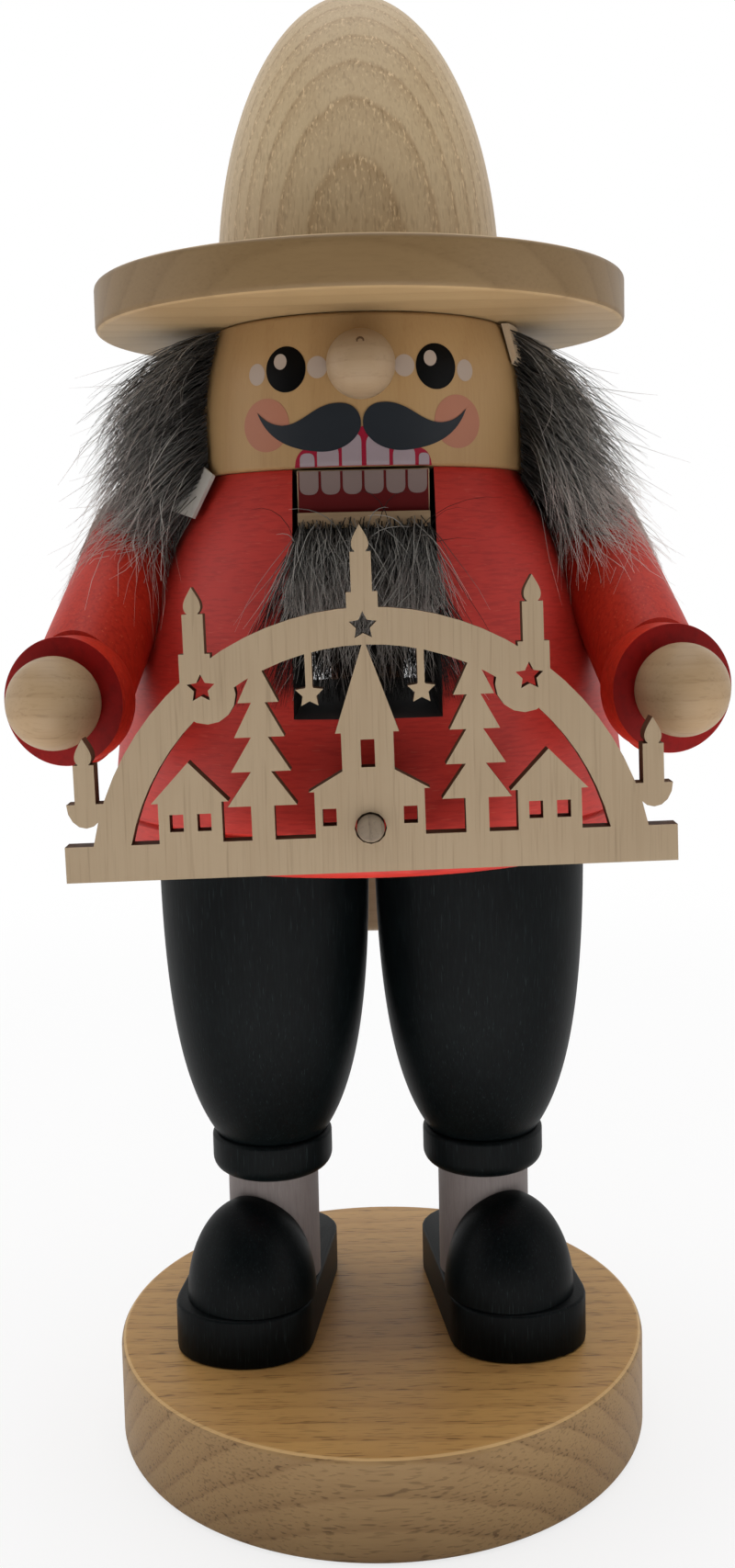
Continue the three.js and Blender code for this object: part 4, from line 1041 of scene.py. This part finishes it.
def beard_paths(rng, count):
    """Hairs that hang from the chin, loose ones over the coat and mouth, and deep near-black ones
    that paint shade.
    """
    tufts = count // BEARD_PER_TUFT
    tuft_x = rng.uniform(-BEARD_HALF_WIDTH, BEARD_HALF_WIDTH, tufts)
    tuft_z = rng.uniform(CHIN_BOTTOM + 3, CHIN_TOP - 1.5, tufts)
    tuft_lean = rng.normal(0, BEARD_TUFT_LEAN, tufts)
    tuft = rng.integers(0, tufts, count)
    stray = rng.random(count) < BEARD_STRAY
    loose = np.where(stray, BEARD_STRAY_LOOSE, 1.0)
    rising = rng.random(count) < BEARD_RISING

    # Roots
    x = tuft_x[tuft] + rng.normal(0, BEARD_TUFT_WIDTH, count)
    x = np.clip(x, -GUM_HALF_WIDTH, GUM_HALF_WIDTH)
    highest = CHIN_TOP - 0.7 - 3.5 * rng.random(count)**0.7
    z = tuft_z[tuft] + rng.normal(0, BEARD_TUFT_HEIGHT, count)
    z = np.clip(z, CHIN_BOTTOM + 2, highest)
    # Deep hairs lie back in the slot and are coloured near black: painted shade
    deep = ~stray & (rng.random(count) < BEARD_SHADE_HAIRS)

    # Length, lean and how far a hair bulges forward
    stray_length = rng.uniform(*BEARD_STRAY_LENGTH, count)
    usual_length = 1 + (z - BEARD_END) * rng.uniform(*BEARD_SHARE, count)
    length = np.where(stray, stray_length, np.maximum(BEARD_LEAST_LENGTH, usual_length))
    shade_hair_length = (z - BEARD_SHADE_HAIR_END) * rng.uniform(*BEARD_SHADE_HAIR_SHARE, count)
    length = np.where(deep, shade_hair_length, length)
    spread = rng.normal(0, BEARD_LEAN, count) * loose * np.where(rising, 2.0, 1.0)
    lean = tuft_lean[tuft] + spread + x * 0.004
    bulge = rng.uniform(*BEARD_BULGE, count)
    bulge += (x / BEARD_HALF_WIDTH) ** 2 * rng.uniform(*BEARD_SIDE_BULGE, count)
    bulge += np.where(stray, BEARD_STRAY_BULGE, 0)
    bulge = np.where(deep, 0.3 * bulge, bulge)

    # Paths
    share = np.linspace(0, 1, STRAND_POINTS)[None]
    curl = rng.uniform(*BEARD_CURL, count)[:, None] * share
    curl += rng.uniform(0, WAVE_TURN, count)[:, None]
    size = np.where(rising, 0.4, rng.uniform(*BEARD_WAVE, count))[:, None]
    sideways = x[:, None] + (length * lean)[:, None] * share**1.3 + size * np.sin(curl) * share
    forward = CHIN_FRONT - 0.1 - bulge[:, None] * (1.8 * share - 0.8 * share**2)
    lift = 0.5 * share**2 - 0.85 * share
    fall = np.where(rising[:, None], lift, 0.4 * share + 0.55 * share**2)
    height = z[:, None] - length[:, None] * fall
    coat = radius_on(COAT_CURVE, height) + FUR_GAP
    surface = -np.sqrt(np.maximum(coat**2 - sideways**2, 0))
    over_coat = np.abs(sideways) > SLOT_HALF_WIDTH - SLOT_MARGIN
    over_coat |= height < SLOT_FLOOR + SLOT_MARGIN
    over_coat &= height < COAT_TOP
    forward = np.where(over_coat, np.minimum(forward, surface), forward)
    return np.stack((sideways, forward, height), axis=2), stray, deep


def strand_tones(rng, stray):
    """Mostly dark hairs, with a few pale ones among them."""
    return np.where(stray, rng.uniform(0.8, 1.0, len(stray)), rng.beta(1.0, 3.2, len(stray)))


def lay_leather(materials):
    """The strip under the hair, with a slanted end by the right eye, and its corner at the left."""
    low, high = HEAD_LOW - 1, HEAD_TOP - 0.4
    inner, outer = HEAD_RADIUS + LEATHER_GAP, HEAD_RADIUS + LEATHER_OUT
    backing = [(inner, low), (outer, low), (outer, LEATHER_BEND)]
    backing += [(HEAD_RADIUS - 1.4, high), (HEAD_RADIUS - 2.8, high), (inner, LEATHER_BEND)]
    leather = turned("fur_leather", backing, 64, *LEATHER_SWEEP)
    corner = block("corner", SLANT_LOW, SLANT_HIGH)
    place(corner, SLANT_PLACE, [math.radians(angle) for angle in SLANT_TURN])
    combine(leather, corner, "DIFFERENCE")
    settle(leather, materials["leather"])
    flap = trace("leather_flap", FLAP_CORNERS)
    fill_outline()
    close_up()
    modify(flap, "SOLIDIFY", thickness=FLAP_THICKNESS * MM, offset=0)
    settle(flap, materials["leather_edge"])


def grow_fur(materials, jaw):
    rng = np.random.default_rng(FUR_SEED)
    lay_leather(materials)
    fur = materials["grey_fur"]
    for name, count, *growth in MANES:
        paths, stray = hair_paths(rng, count, *growth)
        width = rng.uniform(*STRAND_WIDTH, count)
        tones = HAIR_TONE * strand_tones(rng, stray)
        fade = np.interp(paths[:, -1, 2], PALE_TIP_HEIGHTS, PALE_TIP_SHARES)
        fade = np.where(stray, 1, fade)
        piece = strands(name + "_fur", paths, width, tones, fur, fade, np.zeros(count))
        if name == "hair_back":
            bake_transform(piece)
        else:
            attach(piece, "figure")
        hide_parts(name)

    skin = rectangle(SKIN_HALF_WIDTH, CHIN_BOTTOM + 0.3, CHIN_TOP - 3)
    skin = patch("beard_skin", skin, jaw, SKIN_LIFT, materials["fur_skin"], body="lever")
    paths, stray, deep = beard_paths(rng, BEARD_COUNT)
    width = rng.uniform(*STRAND_WIDTH, BEARD_COUNT)
    # The deep hairs are near black from root to tip: painted shade in the slot
    tones = strand_tones(rng, stray) * np.where(deep, 0.02, 0.8)
    fade, root = np.where(deep, 0.02, 0.85), np.where(deep, 0, 0.2)
    beard = strands("beard_hairs", paths, width, tones, fur, fade, root)
    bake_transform(beard)
    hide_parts("beard_fur")


# Scene

bpy.context.scene.view_settings.view_transform = "Standard"
aim_camera()
lay_floor()
light_scene()
materials = make_materials()
make_base(materials)
for side, word in SIDES:
    make_leg(materials, side, word)
    make_arm(materials, side, word)
make_coat(materials)
lever = make_lever(materials)
head, nose = make_head(materials)
make_hat(materials)
make_arch(materials)
paint_face(materials, head, nose, lever)
grow_fur(materials, lever)

# The pin and the dowels inside keep their CAD form and take the dowels' wood
hidden = ["pivot_pin", "hat_dowel"]
for _, word in SIDES:
    hidden += [f"hip_dowel_{word}", f"neck_dowel_{word}", f"shoulder_dowel_{word}"]
for node in hidden:
    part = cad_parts[node]
    part.data.materials.clear()
    part.data.materials.append(materials["dowel"])
